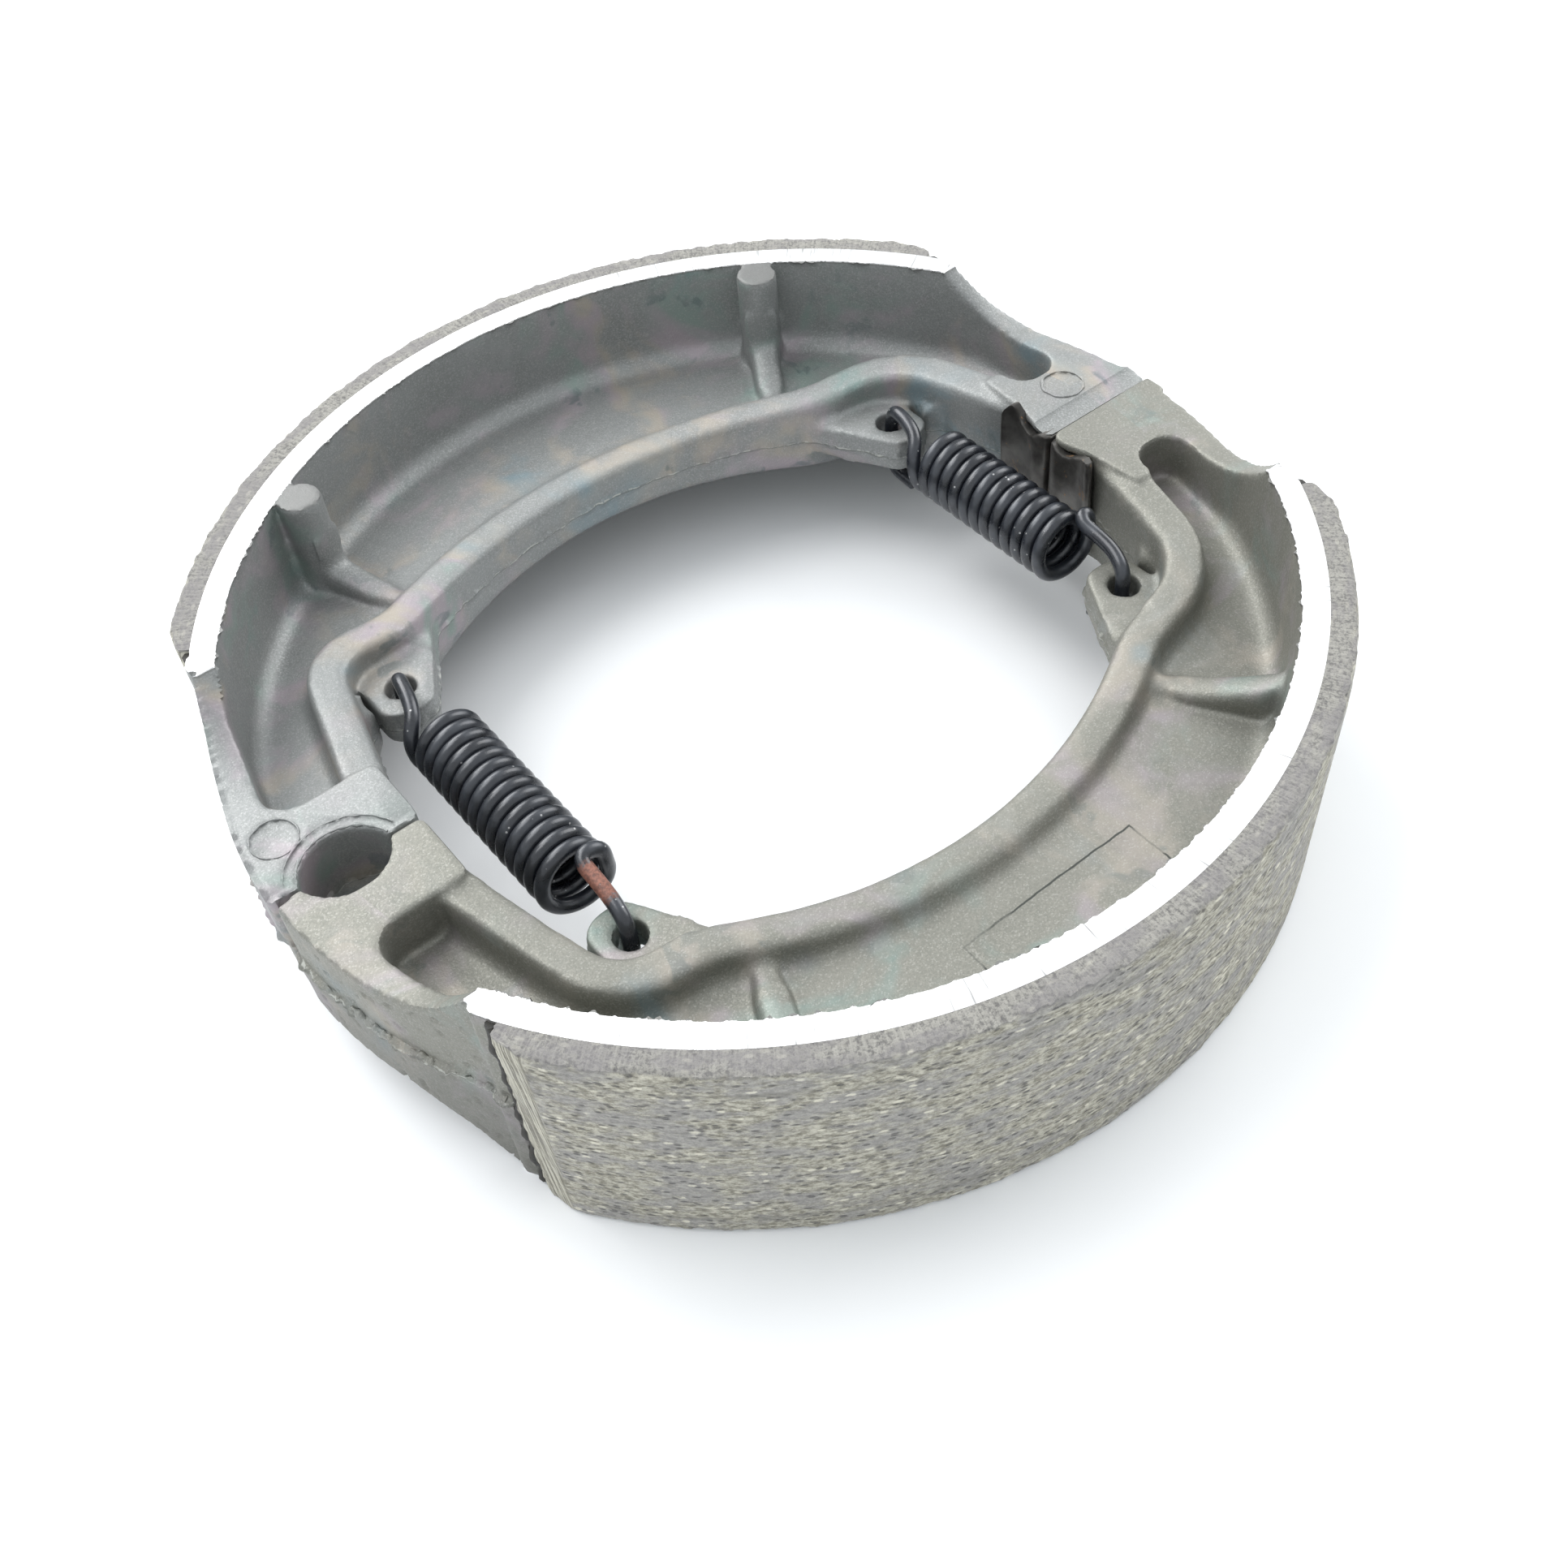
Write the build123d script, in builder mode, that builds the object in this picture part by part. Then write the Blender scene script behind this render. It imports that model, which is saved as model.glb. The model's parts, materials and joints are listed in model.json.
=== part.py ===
"""Pair of drum brake shoes, 110 mm by 25 mm, held together by their two return springs.

The frame is the drum's: the origin is on the surface that the pair rests on, at the drum
axis, +Z runs along that axis and +X points to the cam end. The leading shoe is on the +Y
side. The trailing shoe is the same casting turned over about the X axis.
"""
from build123d import *
import math
import os

os.makedirs("parts", exist_ok=True)

# ------------------------------------------------------------------ drum and lining
drum_radius = 55.0            # bore of the drum that the linings are ground to
shoe_width = 25.0             # rim and lining, along the drum axis
closed_offset = 1.4           # each arc centre lies this far past the drum axis when closed
lining_thickness = 2.5
lining_half_angle = 58.5      # from the middle of the shoe to the end of the lining
lining_bevel_angle = 3.4      # stretch of lining ground thin at each end
lining_end_thickness = 1.2
lining_edge_chamfer = 0.35
bond_line = 0.05              # adhesive between lining and rim

# ------------------------------------------------------------------ rim and web
rim_thickness = 2.4
rim_half_angle = 61.2         # the machined rim, a little longer than the lining
cast_step = 0.65              # the as-cast wall lies this far inside the machined rim
rim_draft = 1.5               # degrees, on the inside of the rim
web_thickness = 3.0
root_chamfer = 1.3            # where the web meets the rim
flange_chamfer = 0.9          # where the web meets the flange
end_sweep_foot = 11.5         # y where the end wall has come down to the boss

# ------------------------------------------------------------------ inner flange
# Corners of its centre line, each as the inset from the rim's inner face and the angle
# from the middle of the shoe, positive towards the anchor.
flange_course = (
    (10.1, 80.1),
    (6.5, 52.4),
    (12.8, 43.7),
    (10.6, 0.0),
    (13.0, -45.4),
    (6.3, -56.8),
    (8.6, -80.4),
)
flange_lug_bends = (6.0, 9.0) # radius round each lug, anchor end first
flange_hip_bends = (7.0, 9.0) # radius where it leaves the middle arch
flange_arch_inset = 1.1       # the arch is this much tighter than the rim
flange_width = 4.0
flange_middle_height = 6.4
flange_end_height = 14.4
flange_end_setback = 6.5      # in from the rim's outer face, where it would have that height
flange_edge_chamfer = 0.5

# ------------------------------------------------------------------ anchor end
boss_height = 13.6
anchor_setback = 7.6          # the pin's axis, in from the rim's outer face
anchor_seat_radius = 4.5
anchor_seat_offset = 1.0      # the seat's centre lies this far past the split when closed
anchor_boss_depth = 15.2      # to the boss's face towards the hub
anchor_boss_length = 8.3      # from the split to the end of the pocket
split_clearance = 0.2         # between the two castings
groove_depth = 0.7            # half the width of the groove outside the seat
boss_corner_radius = 1.0
pocket_radius = 2.6
end_wall_thickness = 3.0      # beside the pockets, thinning to the rim's own wall

# ------------------------------------------------------------------ cam end
cam_boss_depth = 14.8         # from the rim's outer face to the boss's inner corner
cam_flank_y = 5.2             # its slanted flank runs from there to the flange
cam_pocket_radius = 2.4
cam_boss_length = 7.8
cam_lip_thickness = 0.6       # lip that stands out at the far end of the boss
cam_lip_length = 2.8
cam_bevel = (2.0, 0.35)       # along the split on the ejector side: its width and depth
clip_thickness = 0.8
clip_height = 11.4
clip_clearance = 0.08
clip_face_length = 11.0       # the leg that the cam presses on
clip_bend_radius = 0.6        # on the inside of the fold
clip_flank_length = 4.2       # the leg on the flank
clip_horn = (-0.5, 1.2)       # the free end, bent away from the casting

# ------------------------------------------------------------------ ribs, pillars, marks
rib_width = 2.0
rib_root_rise = 1.0           # above the web, at the flange
rib_middle_rise = 2.2
rib_rim_rise = 5.5            # above the web, at the rim
pillar_radius = 2.2
pillar_inset = 2.0            # from the rim's inner face to the pillar's axis
pillar_angles = (34.1, -37.3) # from the middle of the shoe, anchor end first
rib_leans = (-10.0, 6.0)      # degrees from the radius through each pillar
rib_length = 12.0             # from the pillar's axis to the middle of the flange
ejector_mark_radius = 2.15
anchor_mark = (4.1, 6.2)      # in from the rim's outer face, and from the split
cam_mark = (7.5, 5.0)
mark_depth = 0.25
insert_pad_size = (19.5, 5.5) # left by the insert in the die, on the other side
insert_pad_inset = 7.4        # from the rim's inner face
insert_pad_shift = 0.8        # towards the cam

# ------------------------------------------------------------------ lugs and springs
lug_thickness = 4.0
lug_hole_radius = 1.55
anchor_lug_course = (14.1, 54.7)
cam_lug_course = (13.3, -59.1)
lug_tip = 4.0                 # from the hole to the lug's tip
lug_side = 3.3                # from the hole to its short side
lug_land = 1.6                # width of the tip beyond the hole
lug_run_out = (7.9, 7.2)      # from the hole to where the long side meets the flange
lug_back = 4.8                # from the hole to inside the flange, on its short side
lug_corner_radius = 1.6
wire_diameter = 1.5
wire_sides = 6
lengths_per_turn = 12
coil_part_turn = 0.75         # the two hooks leave the coil a quarter turn apart
coil_outer_diameter = 7.6
coil_gap = 0.05               # between turns
hook_reach = 7.5              # about this far from a lug's hole to the coil's end turn
coil_rise = 1.2               # the coils ride this far above the middle of the shoe
hook_clearance = 1.2          # over and under a lug
hook_set_back = 0.4           # the wire bears on the side of the hole nearest the coil
hook_bend = 0.7               # the bends are cut across this far from each corner
hook_tip_length = 3.6
hook_loop = 2.2               # how far the trailing hook turns back across the coil
hook_loop_rise = 0.5          # the loop's top, above the coil's
hook_loop_start = 2           # lengths of the last turn that are given up to the loop

# ------------------------------------------------------------------ worked out
mid_z = shoe_width / 2
rim_outer = drum_radius - lining_thickness
rim_inner = rim_outer - rim_thickness
wall_outer = rim_outer - cast_step
wall_middle = (rim_inner + wall_outer) / 2
end_wall_inner = wall_outer - end_wall_thickness
anchor_x = rim_outer - anchor_setback
anchor_boss_inner = rim_outer - anchor_boss_depth
cam_tip_x = rim_outer - cam_boss_depth
flange_end_reach = rim_outer - flange_end_setback
web_levels = (mid_z - web_thickness / 2, mid_z + web_thickness / 2)
boss_levels = (mid_z - boss_height / 2, mid_z + boss_height / 2)
split_y = split_clearance / 2
arc_centre = (0, -closed_offset)
arc_axis = Axis((*arc_centre, 0), (0, 0, 1))
large = 2 * drum_radius       # comfortably outside the part


def on_arc(radius, angle):
    """Point at a radius from the shoe's arc centre. The angle is in degrees from the
    middle of the shoe, positive towards the anchor."""
    turn = math.radians(90 + angle)
    return (arc_centre[0] + radius * math.cos(turn), arc_centre[1] + radius * math.sin(turn))


def from_rim(inset, angle):
    """Point this far inside the rim's inner face, at an angle from the middle of the shoe."""
    return on_arc(rim_inner - inset, angle)


def across(radius, y):
    """Distance from the Y axis to a circle about the shoe's arc centre, at this y."""
    return math.sqrt(radius**2 - (y - arc_centre[1]) ** 2)


anchor_lug = from_rim(*anchor_lug_course)
cam_lug = from_rim(*cam_lug_course)


def section_plane(angle):
    """Upright plane through the arc centre, with x running out along the radius."""
    turn = math.radians(90 + angle)
    return Plane(
        origin=(*arc_centre, 0),
        x_dir=(math.cos(turn), math.sin(turn), 0),
        z_dir=(math.sin(turn), -math.cos(turn), 0),
    )


def level(height):
    """Lower face of a slab of this height, centred on the middle of the shoe."""
    return Plane.XY.offset(mid_z - height / 2)


# ------------------------------------------------------------------ inner flange
# Centre line: out of the anchor boss, round the anchor lug, along the long middle arc,
# round the cam lug and into the cam boss.
flange_points = [from_rim(*course) for course in flange_course]
flange_bends = (
    flange_lug_bends[0],
    flange_hip_bends[0],
    rim_inner - flange_arch_inset,
    flange_hip_bends[1],
    flange_lug_bends[1],
)
with BuildLine() as flange_line:
    FilletPolyline(*flange_points, radius=flange_bends)


def flange_leg(y):
    """X of the flange's centre line where it runs into the cam boss, at this y."""
    (upper_x, upper_y), (lower_x, lower_y) = flange_points[-2:]
    return lower_x + (upper_x - lower_x) * (y - lower_y) / (upper_y - lower_y)


def rib_plane(angle, lean):
    """Upright plane through a pillar's axis, x running out along its rib."""
    turn = math.radians(90 + angle + lean)
    return Plane(
        origin=(*on_arc(rim_inner - pillar_inset, angle), 0),
        x_dir=(math.cos(turn), math.sin(turn), 0),
        z_dir=(math.sin(turn), -math.cos(turn), 0),
    )


# the slanted flank of the cam boss, from its tip to the flange
cam_tip = (cam_tip_x, split_y)
cam_flank = (flange_leg(cam_flank_y) - flange_width / 2, cam_flank_y)

flank_direction = Vector(cam_flank[0] - cam_tip[0], cam_flank[1] - cam_tip[1]).normalized()
clip_bend = (
    cam_tip[0] + clip_flank_length * flank_direction.X,
    cam_tip[1] + clip_flank_length * flank_direction.Y,
)

# Centre line of the cam clip: along the end face, round the tip and up the flank, ending
# in the horn. The clip's outer face is flush with the casting.
with BuildLine() as clip_face:
    FilletPolyline(
        (cam_tip_x + clip_face_length, split_y),
        cam_tip,
        clip_bend,
        (clip_bend[0] + clip_horn[0], clip_bend[1] + clip_horn[1]),
        radius=clip_bend_radius + clip_thickness,
    )
with BuildLine() as clip_line:
    offset(clip_face.line, amount=clip_thickness / 2, side=Side.RIGHT, closed=False)

# The flange is low in the middle and rises in a shallow arc to the boss at each end.
with BuildPart() as flange_blank:
    with BuildSketch(Plane.XY):
        with BuildLine():
            offset(flange_line.line, amount=flange_width / 2, side=Side.BOTH)
        make_face()
    extrude(amount=shoe_width)
    with BuildSketch(Plane.XZ):
        with BuildLine():
            crown = flange_middle_height / 2
            shoulder = flange_end_height / 2
            top = ThreePointArc(
                (-flange_end_reach, mid_z + shoulder),
                (0, mid_z + crown),
                (flange_end_reach, mid_z + shoulder),
            )
            bottom = ThreePointArc(
                (-flange_end_reach, mid_z - shoulder),
                (0, mid_z - crown),
                (flange_end_reach, mid_z - shoulder),
            )
            Line(top @ 0, bottom @ 0)
            Line(top @ 1, bottom @ 1)
        make_face()
    extrude(amount=-large, mode=Mode.INTERSECT)
    flange_edges = flange_blank.faces().sort_by(Axis.Z)[-1].edges()
    flange_edges += flange_blank.faces().sort_by(Axis.Z)[0].edges()
    chamfer(flange_edges, length=flange_edge_chamfer)

# ------------------------------------------------------------------ shoe casting
with BuildPart() as leading_shoe:
    add(flange_blank.part)

    # web, from the flange's centre line out into the rim
    with BuildSketch(level(web_thickness)):
        with BuildLine():
            add(flange_line.line)
            web_ends = [
                (-across(wall_middle, flange_points[0][1]), flange_points[0][1]),
                (across(wall_middle, flange_points[-1][1]), flange_points[-1][1]),
            ]
            Line(flange_points[0], web_ends[0])
            ThreePointArc(web_ends[0], on_arc(wall_middle, 0), web_ends[1])
            Line(web_ends[1], flange_points[-1])
        make_face()
    extrude(amount=web_thickness)
    flange_root_edges = [
        edge
        for height in web_levels
        for edge in leading_shoe.edges().filter_by_position(Axis.Z, height, height)
        if edge.center().Y > anchor_boss_length
        and math.hypot(edge.center().X, edge.center().Y) < anchor_x
    ]
    chamfer(flange_root_edges, length=flange_chamfer)

    # as-cast wall with its root chamfers, swept round the whole half circle
    with BuildSketch(section_plane(-90)) as wall_section:
        with BuildLine():
            root = rim_inner - (shoe_width - web_levels[1]) * math.tan(math.radians(rim_draft))
            stub = rim_inner - 3 * root_chamfer
            Polyline(
                (wall_outer, 0),
                (wall_outer, shoe_width),
                (rim_inner, shoe_width),
                (root, web_levels[1]),
                (stub, web_levels[1]),
                (stub, web_levels[0]),
                (root, web_levels[0]),
                (rim_inner, 0),
                close=True,
            )
        make_face()
        chamfer(
            wall_section.vertices().filter_by_position(Axis.X, root, root),
            length=root_chamfer,
        )
    revolve(axis=arc_axis, revolution_arc=180)

    # machined rim that the lining is bonded to
    with BuildSketch(section_plane(-rim_half_angle)):
        with Locations(((wall_middle + rim_outer) / 2, mid_z)):
            Rectangle(rim_outer - wall_middle, shoe_width)
    revolve(axis=arc_axis, revolution_arc=2 * rim_half_angle)

    # anchor boss and the thick end wall beside its pocket
    with BuildSketch() as anchor_boss:
        with BuildLine():
            rim_end = on_arc(wall_middle, rim_half_angle)
            pocket_corner = (-across(end_wall_inner, anchor_boss_length), anchor_boss_length)
            Polyline(
                (-large, split_y),
                (-anchor_boss_inner, split_y),
                (-anchor_boss_inner, anchor_boss_length),
                pocket_corner,
                rim_end,
                (-large, rim_end[1]),
                close=True,
            )
        make_face()
        fillet(anchor_boss.vertices().sort_by_distance(pocket_corner)[0], radius=pocket_radius)
        inner_corners = anchor_boss.vertices().filter_by_position(
            Axis.X, -anchor_boss_inner, -anchor_boss_inner
        )
        fillet(inner_corners, radius=boss_corner_radius)
        with Locations(arc_centre):
            Circle(wall_outer, mode=Mode.INTERSECT)
    extrude(amount=shoe_width)

    # cam boss, whose pocket is rounded at both corners
    with BuildSketch() as cam_boss:
        with BuildLine():
            rim_end = on_arc(wall_middle, -rim_half_angle)
            pocket_outer = (across(end_wall_inner, cam_boss_length), cam_boss_length)
            pocket_inner = (flange_leg(cam_boss_length) + flange_width / 2, cam_boss_length)
            leg_top = cam_boss_length + 1.4 * cam_pocket_radius
            Polyline(
                (cam_tip_x, split_y),
                cam_flank,
                (flange_leg(leg_top), leg_top),
                (flange_leg(leg_top) + flange_width / 2, leg_top),
                pocket_inner,
                pocket_outer,
                rim_end,
                (large, rim_end[1]),
                (large, split_y),
                close=True,
            )
        make_face()
        for corner in (pocket_inner, pocket_outer):
            fillet(cam_boss.vertices().sort_by_distance(corner)[0], radius=cam_pocket_radius)
        fillet(
            cam_boss.vertices().sort_by_distance((cam_tip_x, split_y))[0],
            radius=clip_bend_radius + clip_thickness,
        )
        with Locations(arc_centre):
            Circle(wall_outer, mode=Mode.INTERSECT)
    extrude(amount=shoe_width)

    # lip round the far end of the cam boss
    with BuildSketch() as cam_lip:
        with Locations(arc_centre):
            Circle(wall_outer + cam_lip_thickness)
            Circle(wall_middle, mode=Mode.SUBTRACT)
        with Locations((wall_middle, (split_y + cam_lip_length) / 2)):
            Rectangle(end_wall_thickness * 2, cam_lip_length - split_y, mode=Mode.INTERSECT)
    extrude(amount=shoe_width)

    # the end walls sweep down from the rim to the bosses, on both sides of the web
    with BuildSketch(Plane.YZ) as end_sweep:
        with BuildLine():
            sweep_top = on_arc(rim_inner, rim_half_angle)[1]
            curve = TangentArc(
                (end_sweep_foot, boss_levels[1]),
                (sweep_top, shoe_width),
                tangent=(1, 0),
            )
            Polyline(
                curve @ 1,
                (sweep_top, large),
                (-large, large),
                (-large, boss_levels[1]),
                curve @ 0,
            )
        make_face()
        mirror(about=Plane.XZ.offset(-mid_z))
    extrude(amount=large, both=True, mode=Mode.SUBTRACT)

    # everything stops at the split; outside the seat the split opens into a groove
    with BuildSketch():
        with Locations((0, split_y)):
            Rectangle(2 * large, large, align=(Align.CENTER, Align.MAX))
    extrude(amount=shoe_width, mode=Mode.SUBTRACT)
    with BuildSketch():
        with BuildLine():
            Polyline(
                (-anchor_x - anchor_seat_radius, split_y),
                (-rim_outer, split_y + groove_depth),
                (-large, split_y + groove_depth),
                (-large, split_y),
                close=True,
            )
        make_face()
    extrude(amount=shoe_width, mode=Mode.SUBTRACT)

    # half-round seat for the anchor pin
    with BuildSketch():
        with Locations((-anchor_x, -anchor_seat_offset)):
            Circle(anchor_seat_radius)
    extrude(amount=shoe_width, mode=Mode.SUBTRACT)

    # ribs, rising from the flange to the rim on both sides of the web
    for angle, lean in zip(pillar_angles, rib_leans):
        with BuildSketch(rib_plane(angle, lean)):
            with BuildLine():
                reach = pillar_inset + rim_thickness / 2
                crest = ThreePointArc(
                    (-rib_length, web_levels[1] + rib_root_rise),
                    (-rib_length / 3, web_levels[1] + rib_middle_rise),
                    (reach, web_levels[1] + rib_rim_rise),
                )
                trough = ThreePointArc(
                    (-rib_length, web_levels[0] - rib_root_rise),
                    (-rib_length / 3, web_levels[0] - rib_middle_rise),
                    (reach, web_levels[0] - rib_rim_rise),
                )
                Line(crest @ 0, trough @ 0)
                Line(crest @ 1, trough @ 1)
            make_face()
        extrude(amount=rib_width / 2, both=True)

    # ejector pillars, on one side only
    with BuildSketch(Plane.XY.offset(mid_z)):
        with Locations(*[on_arc(rim_inner - pillar_inset, angle) for angle in pillar_angles]):
            Circle(pillar_radius)
    extrude(amount=shoe_width - mid_z)

    # spring lugs inside the flange
    with BuildSketch(level(lug_thickness)) as lugs:
        for hole, side in ((anchor_lug, 1), (cam_lug, -1)):
            short_x = hole[0] - side * lug_side
            tip_y = hole[1] - lug_tip
            with BuildLine():
                Polyline(
                    (short_x, hole[1] + lug_back),
                    (short_x, tip_y),
                    (hole[0] + side * lug_land, tip_y),
                    (hole[0] + side * lug_run_out[0], hole[1] + lug_run_out[1]),
                    close=True,
                )
            make_face()
            tip_corners = [
                lugs.vertices().sort_by_distance((x, tip_y))[0]
                for x in (short_x, hole[0] + side * lug_land)
            ]
            fillet(tip_corners, radius=lug_corner_radius)
        with Locations(anchor_lug, cam_lug):
            Circle(lug_hole_radius, mode=Mode.SUBTRACT)
    extrude(amount=lug_thickness)

    # marks of the ejector pins on the boss tops, and of the insert on the web's other side
    with BuildSketch(Plane.XY.offset(boss_levels[1])):
        with Locations((-rim_outer + anchor_mark[0], anchor_mark[1]), (rim_outer - cam_mark[0], cam_mark[1])):
            Circle(ejector_mark_radius)
    extrude(amount=-mark_depth, mode=Mode.SUBTRACT)
    with BuildSketch(Plane.XY.offset(web_levels[0])):
        with Locations((insert_pad_shift, on_arc(rim_inner - insert_pad_inset, 0)[1])):
            Rectangle(*insert_pad_size)
    extrude(amount=mark_depth, mode=Mode.SUBTRACT)

    # bevel on the cam boss along the split
    with BuildSketch(Plane.YZ.offset(cam_tip_x - cam_bevel[0])):
        with BuildLine():
            Polyline(
                (split_y, boss_levels[1] - cam_bevel[1]),
                (split_y, boss_levels[1]),
                (split_y + cam_bevel[0], boss_levels[1]),
                close=True,
            )
        make_face()
    extrude(amount=large, mode=Mode.SUBTRACT)

    # recess for the clip, leaving a lip of aluminium above and below it
    with BuildSketch(level(clip_height + 2 * clip_clearance)):
        with BuildLine():
            offset(clip_line.line, amount=clip_thickness / 2 + clip_clearance, side=Side.BOTH)
        make_face()
    extrude(amount=clip_height + 2 * clip_clearance, mode=Mode.SUBTRACT)

leading_shoe.part.label = "leading_shoe"
export_step(leading_shoe.part, "parts/leading_shoe.step")

# ------------------------------------------------------------------ leading lining
with BuildPart() as leading_lining:
    with BuildSketch():
        with BuildLine():
            bonded_radius = rim_outer + bond_line
            bonded_face = ThreePointArc(
                on_arc(bonded_radius, lining_half_angle),
                on_arc(bonded_radius, 0),
                on_arc(bonded_radius, -lining_half_angle),
            )
            rubbing_face = ThreePointArc(
                on_arc(drum_radius, lining_half_angle - lining_bevel_angle),
                on_arc(drum_radius, 0),
                on_arc(drum_radius, lining_bevel_angle - lining_half_angle),
            )
            thin_radius = bonded_radius + lining_end_thickness
            Polyline(bonded_face @ 0, on_arc(thin_radius, lining_half_angle), rubbing_face @ 0)
            Polyline(bonded_face @ 1, on_arc(thin_radius, -lining_half_angle), rubbing_face @ 1)
        make_face()
    extrude(amount=shoe_width)
    outer_face = leading_lining.faces().filter_by(GeomType.CYLINDER).sort_by(SortBy.AREA)[-1]
    outer_edges = outer_face.edges().filter_by(GeomType.CIRCLE)
    chamfer(outer_edges, length=lining_edge_chamfer)
leading_lining.part.label = "leading_lining"
export_step(leading_lining.part, "parts/leading_lining.step")

# ------------------------------------------------------------------ leading cam clip
with BuildPart() as leading_cam_clip:
    with BuildSketch(level(clip_height)):
        with BuildLine():
            offset(clip_line.line, amount=clip_thickness / 2, side=Side.BOTH)
        make_face()
    extrude(amount=clip_height)
leading_cam_clip.part.label = "leading_cam_clip"
export_step(leading_cam_clip.part, "parts/leading_cam_clip.step")

# ------------------------------------------------------------------ trailing side
# The same three pieces turned over about the X axis, so the side that carries the
# ejector pillars faces down.
turned_over = Location((0, 0, shoe_width), (180, 0, 0))
with BuildPart() as trailing_shoe:
    with Locations(turned_over):
        add(leading_shoe.part)
trailing_shoe.part.label = "trailing_shoe"
export_step(trailing_shoe.part, "parts/trailing_shoe.step")

with BuildPart() as trailing_lining:
    with Locations(turned_over):
        add(leading_lining.part)
trailing_lining.part.label = "trailing_lining"
export_step(trailing_lining.part, "parts/trailing_lining.step")

with BuildPart() as trailing_cam_clip:
    with Locations(turned_over):
        add(leading_cam_clip.part)
trailing_cam_clip.part.label = "trailing_cam_clip"
export_step(trailing_cam_clip.part, "parts/trailing_cam_clip.step")

# ------------------------------------------------------------------ springs
# Each spring is one wire, bent up from short straight lengths: a hook, the coil and the
# other hook. The wire is six-sided, with the area of the round one.
wire_corner_radius = wire_diameter / 2 * math.sqrt(math.pi / 3 / math.sin(math.pi / 3))
coil_radius = (coil_outer_diameter - wire_diameter) / 2
coil_pitch = wire_diameter + coil_gap
axis_z = mid_z + coil_rise


def bent(corners):
    """The same line with each of its corners cut across."""
    corners = [Vector(*corner) for corner in corners]
    line = [corners[0]]
    for before, corner, after in zip(corners, corners[1:], corners[2:]):
        line.append(corner + (before - corner).normalized() * hook_bend)
        line.append(corner + (after - corner).normalized() * hook_bend)
    return line + corners[-1:]


def spring_line(lug):
    """Centre line of the wire that hooks this lug to the one opposite it, from the
    trailing tip to the leading tip."""
    axis_x, hole_y = lug
    wire_y = hole_y - hook_set_back
    coil_room = 2 * (wire_y - hook_reach)
    coil_turns = round(coil_room / coil_pitch - coil_part_turn) + coil_part_turn
    coil_end = coil_turns * coil_pitch / 2
    coil = []
    for length in range(hook_loop_start, round(coil_turns * lengths_per_turn) + 1):
        turns = length / lengths_per_turn
        angle = 2 * math.pi * turns
        coil.append((
            axis_x + coil_radius * math.sin(angle),
            coil_pitch * turns - coil_end,
            axis_z + coil_radius * math.cos(angle),
        ))
    over = mid_z + (lug_thickness + wire_diameter) / 2 + hook_clearance
    under = mid_z - (lug_thickness + wire_diameter) / 2 - hook_clearance
    leading_hook = bent([
        coil[-1],
        (coil[-1][0], coil[-1][1], over),
        (axis_x, wire_y, over),
        (axis_x, wire_y, under),
        (axis_x, wire_y - hook_tip_length, under),
    ])
    loop_z = axis_z + coil_radius + hook_loop_rise
    trailing_hook = bent([
        coil[0],
        (coil[0][0], coil[0][1], loop_z),
        (coil[0][0] - hook_loop, coil[0][1], loop_z),
        (axis_x, -wire_y, over),
        (axis_x, -wire_y, under),
        (axis_x, hook_tip_length - wire_y, under),
    ])
    return Polyline(*reversed(trailing_hook), *coil[1:-1], *leading_hook)


with BuildPart() as anchor_end_spring:
    with BuildLine() as wire:
        spring_line(anchor_lug)
    with BuildSketch(Plane(origin=wire.line @ 0, z_dir=wire.line % 0)):
        RegularPolygon(wire_corner_radius, wire_sides)
    sweep(path=wire.line, transition=Transition.RIGHT)
anchor_end_spring.part.label = "anchor_end_spring"
export_step(anchor_end_spring.part, "parts/anchor_end_spring.step")

with BuildPart() as cam_end_spring:
    with BuildLine() as wire:
        spring_line(cam_lug)
    with BuildSketch(Plane(origin=wire.line @ 0, z_dir=wire.line % 0)):
        RegularPolygon(wire_corner_radius, wire_sides)
    sweep(path=wire.line, transition=Transition.RIGHT)
cam_end_spring.part.label = "cam_end_spring"
export_step(cam_end_spring.part, "parts/cam_end_spring.step")
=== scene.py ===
"""A pair of die-cast drum brake shoes with bonded linings, two springs and two cam clips."""
import json
import math

import bpy
import numpy as np
from mathutils import Matrix, Vector, noise as roughly

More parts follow.
